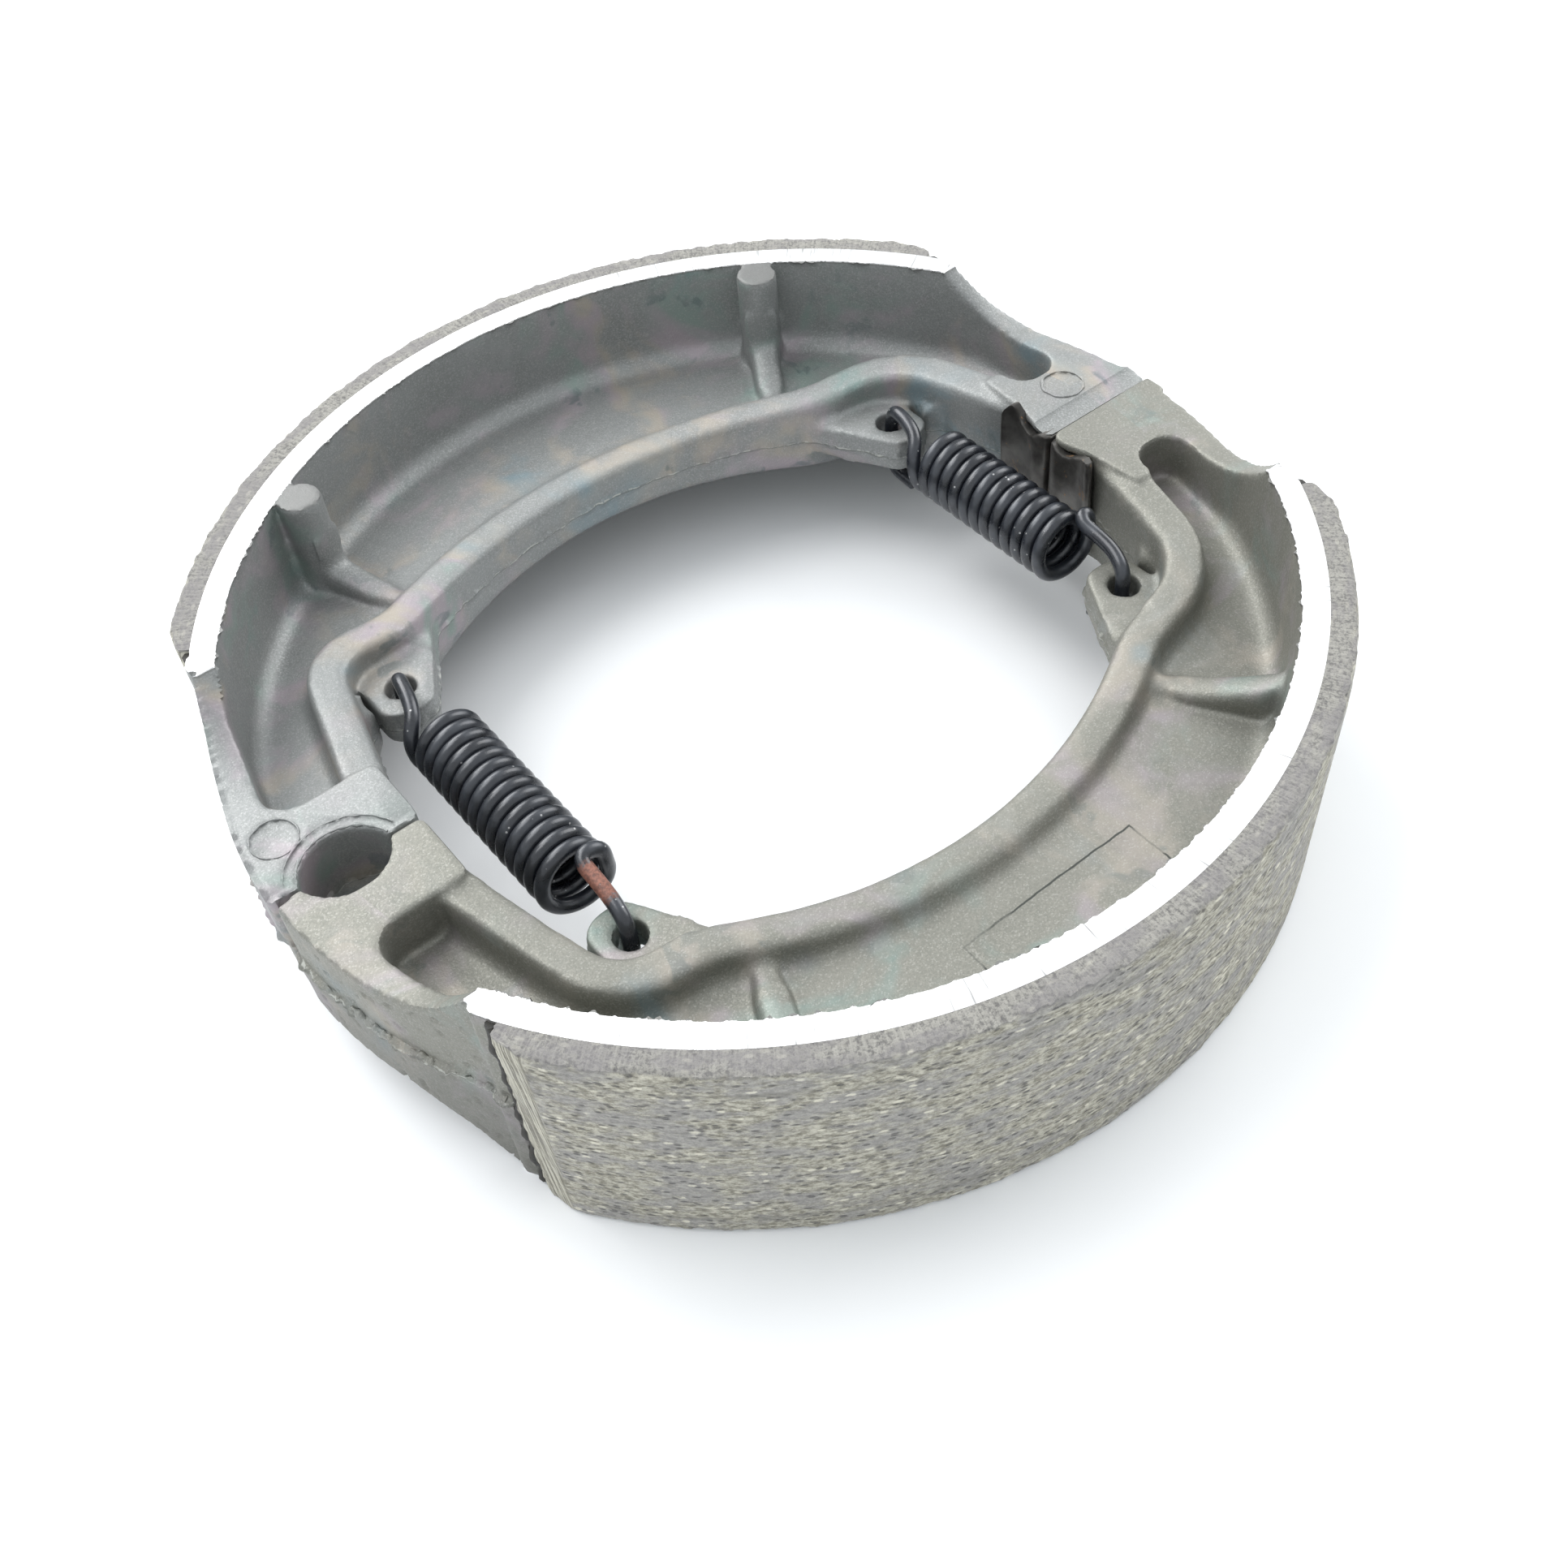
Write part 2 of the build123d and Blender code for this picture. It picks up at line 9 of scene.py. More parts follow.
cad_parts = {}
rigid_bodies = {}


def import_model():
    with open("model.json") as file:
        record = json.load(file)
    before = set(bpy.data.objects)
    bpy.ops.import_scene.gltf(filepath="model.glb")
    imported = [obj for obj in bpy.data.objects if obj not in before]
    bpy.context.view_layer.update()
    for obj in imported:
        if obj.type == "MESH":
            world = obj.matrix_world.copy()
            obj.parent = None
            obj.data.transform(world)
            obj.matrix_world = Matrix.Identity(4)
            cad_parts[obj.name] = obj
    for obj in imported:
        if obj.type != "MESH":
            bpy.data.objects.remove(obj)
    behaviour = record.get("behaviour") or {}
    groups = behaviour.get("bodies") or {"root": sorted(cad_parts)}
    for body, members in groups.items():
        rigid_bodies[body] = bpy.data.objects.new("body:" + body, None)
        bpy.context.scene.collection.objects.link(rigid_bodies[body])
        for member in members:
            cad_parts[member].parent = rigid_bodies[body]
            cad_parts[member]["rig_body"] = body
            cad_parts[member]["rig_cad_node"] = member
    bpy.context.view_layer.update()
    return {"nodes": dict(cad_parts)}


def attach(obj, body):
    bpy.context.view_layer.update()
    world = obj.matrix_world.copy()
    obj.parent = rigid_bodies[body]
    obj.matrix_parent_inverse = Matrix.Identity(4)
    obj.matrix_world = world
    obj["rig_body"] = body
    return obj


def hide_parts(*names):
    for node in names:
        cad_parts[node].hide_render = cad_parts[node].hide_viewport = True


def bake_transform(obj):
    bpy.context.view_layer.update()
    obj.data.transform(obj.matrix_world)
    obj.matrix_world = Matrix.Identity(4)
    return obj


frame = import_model()

MM = 0.001
SHOE_WIDTH = 25.0 * MM
MID_HEIGHT = 12.5 * MM          # middle of the shoes, half of their width
ARC_CENTRE = (0.0, -1.4 * MM)   # of the leading shoe's rim, seen from above
DRUM_RADIUS = 55.0 * MM         # radius of the lining's rubbing face
RIM_OUTER = 52.5 * MM
RIM_INNER = 50.1 * MM
END_WALL = 51.98 * MM           # radius of the outside walls past the ends of the rim
RIM_HALF_ANGLE = 61.2           # degrees from the middle of a shoe to each end of its rim
LINING_HALF_ANGLE = 58.5        # the same for its lining
WEB_UNDERSIDE = 11.0 * MM
WEB_HALF = 1.5 * MM             # half the thickness of the web
BOSS_TOP = 19.3 * MM
SEAT = (-44.9 * MM, -1.0 * MM)  # middle of the seat for the anchor pin
SEAT_LIP = 4.62 * MM            # radius of the flash round the seat
SEAT_BAND = 5.7 * MM            # radius of the low band round the seat
PIN_MARKS = ((-48.4 * MM, 6.2 * MM), (45.0 * MM, 5.0 * MM))
PIN_MARK_RADIUS = 2.1 * MM
LUG_HOLES = ((-29.43 * MM, 19.42 * MM), (31.58 * MM, 17.5 * MM))
LUG_NOSE = 3.8 * MM             # radius of a lug's nose round its hole
RIBS = ((34.1, -10.0), (-37.3, 6.0))    # degrees to each rib, and its lean from radial
RIB_OUTER_END = 48.1 * MM
RIB_LENGTH = 8.5 * MM
SPLIT_STRIP = 2.1 * MM          # width of the low strip along the split of the cam boss

SIDE_FACE = 12.38 * MM          # the machined side faces start this far from mid height
STEP_SHADOW_LEVEL = 9.9 * MM           # where the painted shadow lines of a step run on the rubbing face, this far from mid height
BEVEL_RUN = (52.7 * MM, 53.1 * MM)      # arc length to where the lining's bevel takes over
INSERT_MIDDLE = (0.8 * MM, 41.3 * MM)   # of the die insert's outline on the web
INSERT_HALF_SIZE = (9.75 * MM, 2.75 * MM)
RUST_SPOT = (-28.8 * MM, -14.6 * MM, 16.3 * MM)     # on the hook of the anchor end spring


# ---- shaping by hand
def pick(piece):
    """Leave just this piece selected, in object mode."""
    if bpy.context.object and bpy.context.object.mode != "OBJECT":
        bpy.ops.object.mode_set(mode="OBJECT")
    bpy.ops.object.select_all(action="DESELECT")
    piece.select_set(True)
    bpy.context.view_layer.objects.active = piece


def corners_of(piece):
    """Every vertex of a mesh as rows of x, y, z."""
    flat = np.zeros(len(piece.data.vertices) * 3)
    piece.data.vertices.foreach_get("co", flat)
    return flat.reshape(-1, 3)


def call_it(piece, name):
    """Give a piece and its mesh this name."""
    piece.name = name
    piece.data.name = name


def close_skin():
    """Merge the doubled vertices of the active piece and turn all its faces outwards."""
    bpy.ops.object.mode_set(mode="EDIT")
    bpy.ops.mesh.select_all(action="SELECT")
    bpy.ops.mesh.remove_doubles(threshold=2e-6)
    bpy.ops.mesh.normals_make_consistent(inside=False)
    bpy.ops.object.mode_set(mode="OBJECT")


def shade_smooth(piece, degrees):
    """Smooth shading, with edges sharper than this left as edges."""
    pick(piece)
    bpy.ops.object.shade_smooth_by_angle(angle=math.radians(degrees))


def copy_of(node, name):
    """A CAD node's shape as a new piece, its loose triangles merged into one skin."""
    pick(frame["nodes"][node])
    bpy.ops.object.duplicate()
    piece = bpy.context.object
    call_it(piece, name)
    piece.parent = None
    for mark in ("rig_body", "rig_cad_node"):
        del piece[mark]
    pick(piece)
    if piece.data.has_custom_normals:
        bpy.ops.mesh.customdata_custom_splitnormals_clear()
    close_skin()
    return piece


def finish_with(piece, kind, **settings):
    """Add a modifier with these settings and apply it."""
    pick(piece)
    modifier = piece.modifiers.new(kind.title(), kind)
    for setting, value in settings.items():
        setattr(modifier, setting, value)
    bpy.ops.object.modifier_apply(modifier=modifier.name)


def weigh(piece, name, weights):
    """A vertex group that holds one weight for each vertex."""
    group = piece.vertex_groups.new(name=name)
    for level in np.unique(np.round(weights, 1)):
        members = np.flatnonzero(np.round(weights, 1) == level)
        group.add(members.tolist(), float(level), "REPLACE")


def move_corners(piece, place):
    """Put every vertex of a mesh at its row of x, y, z."""
    piece.data.vertices.foreach_set("co", place.ravel())
    piece.data.update()


def draw_to(place, rows, centre, away, reach):
    """Move these rows, which are this far away from a centre seen from above, to its reach."""
    scale = reach / away[rows]
    place[rows, 0] = centre[0] + (place[rows, 0] - centre[0]) * scale
    place[rows, 1] = centre[1] + (place[rows, 1] - centre[1]) * scale


def uneven(place, size):
    """Smooth random values from about -1 to 1, one for each place, in blotches of this size."""
    return np.array([roughly.noise(Vector(row) / size) for row in place])


def on_arc(radius, angle):
    """A point of the leading shoe: degrees are from its middle, positive towards the anchor."""
    turn = math.radians(90 + angle)
    return radius * math.cos(turn), ARC_CENTRE[1] + radius * math.sin(turn)


def turned_over(piece, name):
    """The same piece for the other side, with its own mesh, turned over about the X axis."""
    pick(piece)
    bpy.ops.object.duplicate()
    other = bpy.context.object
    call_it(other, name)
    bpy.ops.object.mode_set(mode="EDIT")
    bpy.ops.mesh.select_all(action="SELECT")
    bpy.ops.transform.rotate(
        value=math.pi,
        orient_axis="X",
        orient_type="GLOBAL",
        center_override=(0, 0, MID_HEIGHT),
    )
    bpy.ops.object.mode_set(mode="OBJECT")
    return other


def paint_relief(piece, blur=1):
    """Paint how far each corner stands out, pale on edges and dark in hollows."""
    pick(piece)
    bpy.ops.geometry.color_attribute_add(
        name="relief",
        domain="POINT",
        data_type="FLOAT_COLOR",
        color=(1, 1, 1, 1),
    )
    bpy.ops.object.mode_set(mode="VERTEX_PAINT")
    bpy.ops.paint.vertex_color_dirt(
        blur_strength=1.0,
        blur_iterations=blur,
        clean_angle=math.pi,
        dirt_angle=0,
        normalize=False,
    )
    bpy.ops.object.mode_set(mode="OBJECT")


# ---- die castings
def where_round(place):
    """Radius and degrees from the middle of the leading shoe, positive towards the anchor."""
    radius = np.hypot(place[:, 0], place[:, 1] - ARC_CENTRE[1])
    return radius, np.degrees(np.arctan2(-place[:, 0], place[:, 1] - ARC_CENTRE[1]))


def fatten_ribs(shoe):
    """Draw the sides of the two ribs out a little, less towards their inner ends."""
    place = corners_of(shoe)
    off_web = abs(place[:, 2] - MID_HEIGHT) - WEB_HALF
    for angle, lean in RIBS:
        turn = math.radians(90 + angle + lean)
        x, y = on_arc(RIB_OUTER_END, angle)
        along = (place[:, 0] - x) * math.cos(turn) + (place[:, 1] - y) * math.sin(turn)
        beside = (place[:, 0] - x) * math.sin(turn) - (place[:, 1] - y) * math.cos(turn)
        rib = (along > -RIB_LENGTH) & (along < 1.0 * MM) & (abs(beside) < 1.4 * MM)
        rib &= (off_web > 0.2 * MM) & (off_web < 7 * MM)
        push = 0.6 * beside[rib] * np.clip((along[rib] + RIB_LENGTH) / (1.5 * MM), 0, 1)
        place[rib, 0] += push * math.sin(turn)
        place[rib, 1] -= push * math.cos(turn)
    move_corners(shoe, place)


def soften_roots(shoe):
    """Melt the roots of the ribs, pillars, flange and rim into the web as a die leaves them."""
    place = corners_of(shoe)
    radius, _ = where_round(place)
    from_web = abs(place[:, 2] - MID_HEIGHT)
    soft = np.clip((6.2 * MM - from_web) / (1.2 * MM), 0, 1)
    soft[radius > RIM_OUTER - 0.5 * MM] = 0
    soft[place[:, 1] < 9 * MM] = 0
    for x, y in LUG_HOLES:
        soft[np.hypot(place[:, 0] - x, place[:, 1] - y) < 5.5 * MM] = 0
    weigh(shoe, "roots", soft)
    finish_with(shoe, "SMOOTH", factor=0.5, iterations=40, vertex_group="roots")


def round_lugs(shoe):
    """Round off the nose of both spring lugs, keeping the holes sharp: the corners of each tip
    are drawn in to a circle round its hole, and then smoothed."""
    place = corners_of(shoe)
    nose = np.zeros(len(place))
    in_lug = abs(place[:, 2] - MID_HEIGHT) < 2.6 * MM
    for (x, y), inward in zip(LUG_HOLES, (1, -1)):
        away = np.hypot(place[:, 0] - x, place[:, 1] - y)
        nose[(away > 2.0 * MM) & (away < 7 * MM) & (place[:, 1] < y + 1.0 * MM)] = 1
        beside = inward * (place[:, 0] - x)
        at_tip = (place[:, 1] < y) & (beside < 2.2 * MM)
        at_side = (place[:, 1] < y + 1.5 * MM) & (beside < -1.0 * MM)
        corner = in_lug & (at_tip | at_side) & (away > LUG_NOSE) & (away < 5.6 * MM)
        draw_to(place, corner, (x, y), away, LUG_NOSE)
    move_corners(shoe, place)
    weigh(shoe, "lug_noses", nose)
    finish_with(shoe, "SMOOTH", factor=0.5, iterations=16, vertex_group="lug_noses")


def raise_parting_line(shoe):
    """Where the two halves of the die met: a thin ragged ridge at mid height on every upright
    face. The end walls are pitted, and the ejector half of the anchor end stands proud."""
    place = corners_of(shoe)
    out = np.array([corner.normal[:] for corner in shoe.data.vertices])
    radius, angle = where_round(place)
    past_lining = abs(angle) > LINING_HALF_ANGLE + 1
    free = (radius < RIM_OUTER - 0.3 * MM) | past_lining
    upright = free & (abs(out[:, 2]) < 0.35) & (place[:, 1] > 0.5 * MM)
    outside = upright & (radius > RIM_INNER) & past_lining
    sway = uneven(place[outside], 6 * MM) * 0.6 * MM
    off_line = abs(place[:, 2] - MID_HEIGHT)
    off_line[outside] = abs(place[outside, 2] - MID_HEIGHT - sway) - 0.12 * MM
    line = upright & (off_line < 0.2 * MM)
    ragged = 0.55 + uneven(place[line], 0.7 * MM) + 0.6 * uneven(place[line], 3 * MM)
    height = np.where(outside[line], 0.42, 0.28) * MM
    place[line] += out[line] * (np.clip(ragged, 0, 1.5) * height)[:, None]
    pit = np.clip(uneven(place[outside], 0.9 * MM) - 0.35, 0, 0.3) * 0.7 * MM
    lump = uneven(place[outside], 3.5 * MM) * 0.07 * MM
    place[outside] += out[outside] * (lump - pit)[:, None]
    proud = outside & (angle > 0) & (place[:, 2] > MID_HEIGHT)
    place[proud] += out[proud] * 0.3 * MM
    move_corners(shoe, place)


def true_up_rim(shoe):
    """The lathe's work: square side faces with a burr along their inner border, and a round
    seat for the lining."""
    place = corners_of(shoe)
    radius, angle = where_round(place)
    rim = (abs(angle) < RIM_HALF_ANGLE + 0.2) & (radius > RIM_INNER - 0.15 * MM)
    place[rim & (place[:, 2] > SHOE_WIDTH - 0.3 * MM), 2] = SHOE_WIDTH
    place[rim & (place[:, 2] < 0.3 * MM), 2] = 0
    burr = rim & (radius < RIM_INNER + 0.3 * MM) & (abs(place[:, 2] - MID_HEIGHT) > 12.2 * MM)
    ragged = uneven(place[burr], 0.55 * MM) + 0.5 * uneven(place[burr], 3 * MM)
    inward = np.clip(ragged, 0, 0.8) * 0.6 * MM
    place[burr, :2] *= (1 - inward / radius[burr])[:, None]
    seat = rim & (radius > RIM_OUTER - 0.32 * MM) & (abs(angle) < LINING_HALF_ANGLE + 0.6)
    draw_to(place, seat, ARC_CENTRE, radius, RIM_OUTER + 0.02 * MM)
    move_corners(shoe, place)


def press_marks(shoe):
    """On the ejector side: the round pin marks, the band where a core closed round the anchor
    seat, and the low strip along the split of the cam boss."""
    place = corners_of(shoe)
    top = abs(place[:, 2] - BOSS_TOP) < 0.6 * MM
    for x, y in PIN_MARKS:
        away = np.hypot(place[:, 0] - x, place[:, 1] - y)
        place[top & (away < PIN_MARK_RADIUS), 2] = BOSS_TOP - 0.2 * MM
    from_seat = np.hypot(place[:, 0] - SEAT[0], place[:, 1] - SEAT[1])
    band = top & (from_seat < SEAT_BAND) & (place[:, 1] > 0.35 * MM)
    at_split = (place[:, 0] < -34 * MM) & (place[:, 1] < 1.3 * MM) & (place[:, 1] > 0.3 * MM)
    place[band | top & at_split, 2] -= 0.22 * MM
    strip = top & (place[:, 0] > 37.5 * MM) & (place[:, 1] < SPLIT_STRIP)
    place[strip, 2] = BOSS_TOP - 0.3 * MM - (SPLIT_STRIP - place[strip, 1]) * 0.22
    move_corners(shoe, place)


def cast_shoe(node, name):
    """The casting with the soft roots and worn corners that it has out of the die."""
    shoe = copy_of(node, name)
    finish_with(shoe, "REMESH", mode="VOXEL", voxel_size=0.32 * MM, adaptivity=0)
    fatten_ribs(shoe)
    place = corners_of(shoe)
    radius, _ = where_round(place)
    on_rim = (radius > RIM_INNER + 0.2 * MM) & (place[:, 1] > 20 * MM)
    weigh(shoe, "as_cast", np.where(on_rim, 0.1, 1.0))
    finish_with(shoe, "SMOOTH", factor=0.5, iterations=7, vertex_group="as_cast")
    soften_roots(shoe)
    round_lugs(shoe)
    raise_parting_line(shoe)
    true_up_rim(shoe)
    press_marks(shoe)
    finish_with(shoe, "DECIMATE", ratio=0.45)
    shade_smooth(shoe, 40)
    return shoe


def tube(name, points, widths, thickness, order, sides, degrees, closed=False):
    """A closed mesh tube along these points, with a share of its thickness at each. A higher
    order runs smoother, and more sides make it rounder."""
    bpy.ops.curve.primitive_nurbs_path_add(location=(0, 0, 0))
    run = bpy.context.object
    line = run.data.splines[0]
    line.points.add(len(points) - len(line.points))
    for point, place, width in zip(line.points, points, widths):
        point.co = (*place, 1)
        point.radius = width
    line.use_endpoint_u = not closed
    line.use_cyclic_u = closed
    line.order_u = order
    line.resolution_u = order
    run.data.dimensions = "3D"
    run.data.bevel_depth = thickness
    run.data.bevel_resolution = sides
    run.data.use_fill_caps = True
    pick(run)
    bpy.ops.object.convert(target="MESH")
    piece = bpy.context.object
    close_skin()
    shade_smooth(piece, degrees)
    call_it(piece, name)
    return piece


def bead(name, points, thickness, seed, low, high, closed=False):
    """A bead of flash or glue, uneven between low and high shares of its thickness."""
    widths = [
        low + (high - low) * (0.5 + roughly.noise(Vector((number * 0.73, seed, 0.4))))
        for number in range(len(points))
    ]
    return tube(name, points, widths, thickness, 3, 2, 60, closed)


def joined(name, *pieces):
    """Several beads as one piece."""
    pick(pieces[0])
    for piece in pieces[1:]:
        piece.select_set(True)
    bpy.ops.object.join()
    whole = bpy.context.object
    whole.name = name
    return whole


def ring(centre, reach, first, last, steps, seed):
    """Points round a centre on a boss top, wandering a little in and out."""
    points = []
    for step in range(steps):
        turn = math.radians(first + (last - first) * step / (steps - 1))
        wander = reach + 0.12 * MM * roughly.noise(Vector((step * 0.4, seed, 0)))
        x = centre[0] + wander * math.cos(turn)
        y = centre[1] + wander * math.sin(turn)
        points.append((x, y, BOSS_TOP - 0.02 * MM))
    return points


def flash_beads(name):
    """Thin skins of metal that crept between the parts of the die."""
    beads = [
        bead("seat_lip", ring(SEAT, SEAT_LIP, 16, 158, 40, 3.0), 0.13 * MM, 2.0, 0.2, 1.5),
        bead("band_lip", ring(SEAT, 5.72 * MM, 20, 160, 44, 4.0), 0.08 * MM, 3.0, 0.1, 1.5),
    ]
    for number, centre in enumerate(PIN_MARKS):
        line = ring(centre, 2.2 * MM, 0, 350, 36, 6.0 + number)
        beads.append(bead("pin_ring", line, 0.12 * MM, 5.0 + number, 0.1, 1.6, closed=True))
    for number, (first, last) in enumerate(((60.3, 82.5), (-60.3, -80.0))):
        line = []
        for step in range(64):
            on_rim_end = step < 3
            angle = first + (last - first) * step / 63
            x, y = on_arc(RIM_OUTER if on_rim_end else END_WALL, angle)
            sway = 0.6 * MM * roughly.noise(Vector((step * 0.13, 30 + number, 0)))
            line.append((x, y, MID_HEIGHT + sway))
        beads.append(bead("parting_flash", line, 0.32 * MM, 21.0 + number, 0.1, 1.5))
    return joined(name, *beads)


# ---- linings
def friction_lining(node, name):
    """The bonded lining: crumbled along its edges, a little uneven on its rubbing face, flat on
    its sides, and tucked under the edge of the rim so that no gap shows there."""
    lining = copy_of(node, name)
    finish_with(lining, "REMESH", mode="VOXEL", voxel_size=0.4 * MM, adaptivity=0)
    finish_with(lining, "SMOOTH", factor=0.5, iterations=2)
    place = corners_of(lining)
    out = np.array([corner.normal[:] for corner in lining.data.vertices])
    radius, angle = where_round(place)
    angle = abs(angle)
    bonded = radius < RIM_OUTER + 0.5 * MM
    edge = np.minimum(place[:, 2], SHOE_WIDTH - place[:, 2])
    near_edge = np.clip(1 - edge / (0.7 * MM), 0, 1) * (radius > DRUM_RADIUS - 0.8 * MM)
    near_end = np.clip((angle - LINING_HALF_ANGLE + 1.2) / 1.0, 0, 1)
    crumbled = np.maximum(near_edge, near_end)
    depth = 0.05 * uneven(place, 0.8 * MM) + crumbled * (0.22 * uneven(place, 0.9 * MM) - 0.1)
    place += out * np.where(bonded, 0, depth)[:, None] * MM
    beside_rim = (edge < 0.5 * MM) & (radius < RIM_OUTER + 0.5 * MM)
    flat = (edge < 0.3 * MM) & (radius < DRUM_RADIUS - 0.5 * MM) | beside_rim
    place[flat & (place[:, 2] > MID_HEIGHT), 2] = SHOE_WIDTH - 0.015 * MM
    place[flat & (place[:, 2] < MID_HEIGHT), 2] = 0.015 * MM
    against_rim = radius < RIM_OUTER + 0.35 * MM
    draw_to(place, against_rim, ARC_CENTRE, radius, RIM_OUTER - 0.08 * MM)
    move_corners(lining, place)
    shade_smooth(lining, 35)
    return lining


def dark_end_beads(name):
    """A near-black bead in the gap at both ends of the lining, against the rim."""
    beads = []
    for number, side in enumerate((1, -1)):
        points = []
        for step in range(34):
            height = 0.4 * MM + step * 24.2 / 33 * MM
            sway = 0.5 * roughly.noise(Vector((step * 0.31, 8 + number, 0)))
            x, y = on_arc(RIM_OUTER + 0.12 * MM, side * (LINING_HALF_ANGLE + 0.45 + 0.3 * sway))
            points.append((x, y, height))
        beads.append(bead("dark_bead", points, 0.6 * MM, 11.0 + number, 0.55, 1.3))
    return joined(name, *beads)


# ---- clips
CLIP_FOOT = 6.8 * MM
CLIP_HEIGHT = 11.4 * MM


def cam_clip(node, name):
    """The folded steel clip: its free end rises to a blunt horn, drops below and curls away
    from the boss, the fold stands proud at both ends, and all edges are eased."""
    clip = copy_of(node, name)
    finish_with(clip, "REMESH", mode="VOXEL", voxel_size=0.17 * MM, adaptivity=0)
    finish_with(clip, "SMOOTH", factor=0.5, iterations=2)
    place = corners_of(clip)
    up_the_clip = (place[:, 2] - CLIP_FOOT) / CLIP_HEIGHT
    upper = np.clip(up_the_clip, 0, 1)
    lower = np.clip(1 - up_the_clip, 0, 1)
    on_leaf = place[:, 0] < 40 * MM
    out = np.clip((place[:, 1] - 2.8 * MM) / (3.1 * MM), 0, 1)
    dip = np.sin(math.pi * np.clip((place[:, 1] - 1.0 * MM) / (2.6 * MM), 0, 1)) * on_leaf
    flare = np.where(up_the_clip > 0.5, 1.5, 1.0) * abs(up_the_clip - 0.5)
    fold = np.exp(-((place[:, 1] - 1.1 * MM) / (0.8 * MM)) ** 2) * on_leaf
    horn = 2.1 * np.exp(-((out - 0.68) / 0.27) ** 2) + 0.8 * out ** 3
    place[:, 2] += (horn + 0.6 * fold - 0.35 * dip) * upper ** 2 * MM
    place[:, 2] -= (1.7 * out ** 1.3 + 0.6 * fold - 0.2 * dip) * lower ** 2 * MM
    place[:, 1] += (0.75 * out - 0.9 * out ** 1.3 * upper ** 3) * MM
    bulge = 0.55 * np.clip((40.5 * MM - place[:, 0]) / (1.8 * MM), 0, 1)
    place[:, 0] -= (bulge + 0.1 * out + 1.2 * flare * out ** 2) * MM
    move_corners(clip, place)
    finish_with(clip, "DECIMATE", ratio=0.5)
    shade_smooth(clip, 40)
    return clip


# ---- springs
WIRE_RADIUS = 0.75 * MM
COIL_RADIUS = 3.05 * MM
COIL_PITCH = 1.55 * MM
COIL_HEIGHT = 13.7 * MM         # of the coil's axis above the table
POINTS_PER_TURN = 16
LOOP_START = 1 / 6              # of a turn, where the trailing loop leaves the coil
HOOK_SET_BACK = 0.4 * MM        # from the middle of a lug's hole to the wire in it


def spring(name, hole, coil_turns, lean, opened):
    """A close-wound spring with a long hook at each end, from the trailing tip, between this
    hole and the one opposite. The trailing hook runs this many millimetres beside the axis,
    and the turn behind it is opened by this much."""
    axis_x, hole_y = hole
    length = coil_turns * COIL_PITCH
    # the drawn curve runs inside its points, so they are set out by this factor
    swell = 3 / (2 + math.cos(2 * math.pi / POINTS_PER_TURN))
    coil = []
    first_step = round(LOOP_START * POINTS_PER_TURN)
    for step in range(first_step, round(coil_turns * POINTS_PER_TURN) + 1):
        turns = step / POINTS_PER_TURN
        angle = 2 * math.pi * turns
        open_y = opened * max(0.0, 1 - turns / 1.3) ** 2
        coil.append((
            axis_x + swell * COIL_RADIUS * math.sin(angle),
            turns * COIL_PITCH - length / 2 - open_y,
            COIL_HEIGHT + swell * COIL_RADIUS * math.cos(angle),
        ))
    y = hole_y - HOOK_SET_BACK
    start = coil[0][1]
    end = coil[-1][1]

    def beside(x, place_y, z):
        return axis_x + x * MM, place_y, z * MM

    trailing_hook = [
        beside(0.0, 3.5 * MM - y, 8.5),
        beside(0.0, 2.2 * MM - y, 8.5),
        beside(0.0, 0.9 * MM - y, 8.5),
        beside(0.0, -y - 0.1 * MM, 9.0),
        beside(0.0, -y - 0.2 * MM, 11.4),
        beside(0.0, -y - 0.2 * MM, 13.6),
        beside(0.1 * lean, -y - 0.1 * MM, 15.2),
        beside(0.5 * lean, 0.9 * MM - y, 15.95),
        beside(lean, 0.6 * -y + 0.4 * start, 16.3),
        beside(lean + 0.05, start - 1.5 * MM, 16.6),
        beside(lean, start - 0.5 * MM, 16.9),
        beside(lean + 0.5, start + 0.1 * MM, 17.15),
        beside(min(lean + 1.5, 2.5), start + 0.15 * MM, 17.1),
        beside(2.95, start + 0.05 * MM, 16.3),
    ]
    leading_hook = [
        beside(-3.1, end + 0.3 * MM, 14.9),
        beside(-2.5, end + 0.8 * MM, 15.9),
        beside(-1.6, end + 1.6 * MM, 16.6),
        beside(-0.9, 0.55 * end + 0.45 * y, 16.9),
        beside(-0.4, y - 1.6 * MM, 16.9),
        beside(-0.1, y - 0.4 * MM, 16.3),
        beside(0.0, y + 0.1 * MM, 14.9),
        beside(0.0, y + 0.2 * MM, 13.0),
        beside(0.0, y + 0.2 * MM, 10.9),
        beside(0.0, y + 0.1 * MM, 8.9),
        beside(0.0, y - 0.9 * MM, 8.4),
        beside(0.0, y - 2.2 * MM, 8.3),
        beside(0.0, y - 3.5 * MM, 8.2),
    ]
    points = trailing_hook + coil + leading_hook
    return tube(name, points, [1] * len(points), WIRE_RADIUS, 4, 6, 50)


# ---- building materials
MM_PER_METRE = 1000


def put(tree, kind, inputs=None, **settings):
    """Add a node, set it up, and give each named input a value or a wire."""
    made = tree.nodes.new("ShaderNode" + kind)
    for setting, value in settings.items():
        setattr(made, setting, value)
    for socket, value in (inputs or {}).items():
        wire(tree, value, made.inputs[socket])
    return made


def wire(tree, value, socket):
    """Feed an input from another node's output, or set it to a plain value."""
    if isinstance(value, bpy.types.NodeSocket):
        tree.links.new(value, socket)
    else:
        socket.default_value = value


def calc(tree, operation, *values):
    """The result of one step of arithmetic."""
    return put(tree, "Math", dict(enumerate(values)), operation=operation).outputs[0]


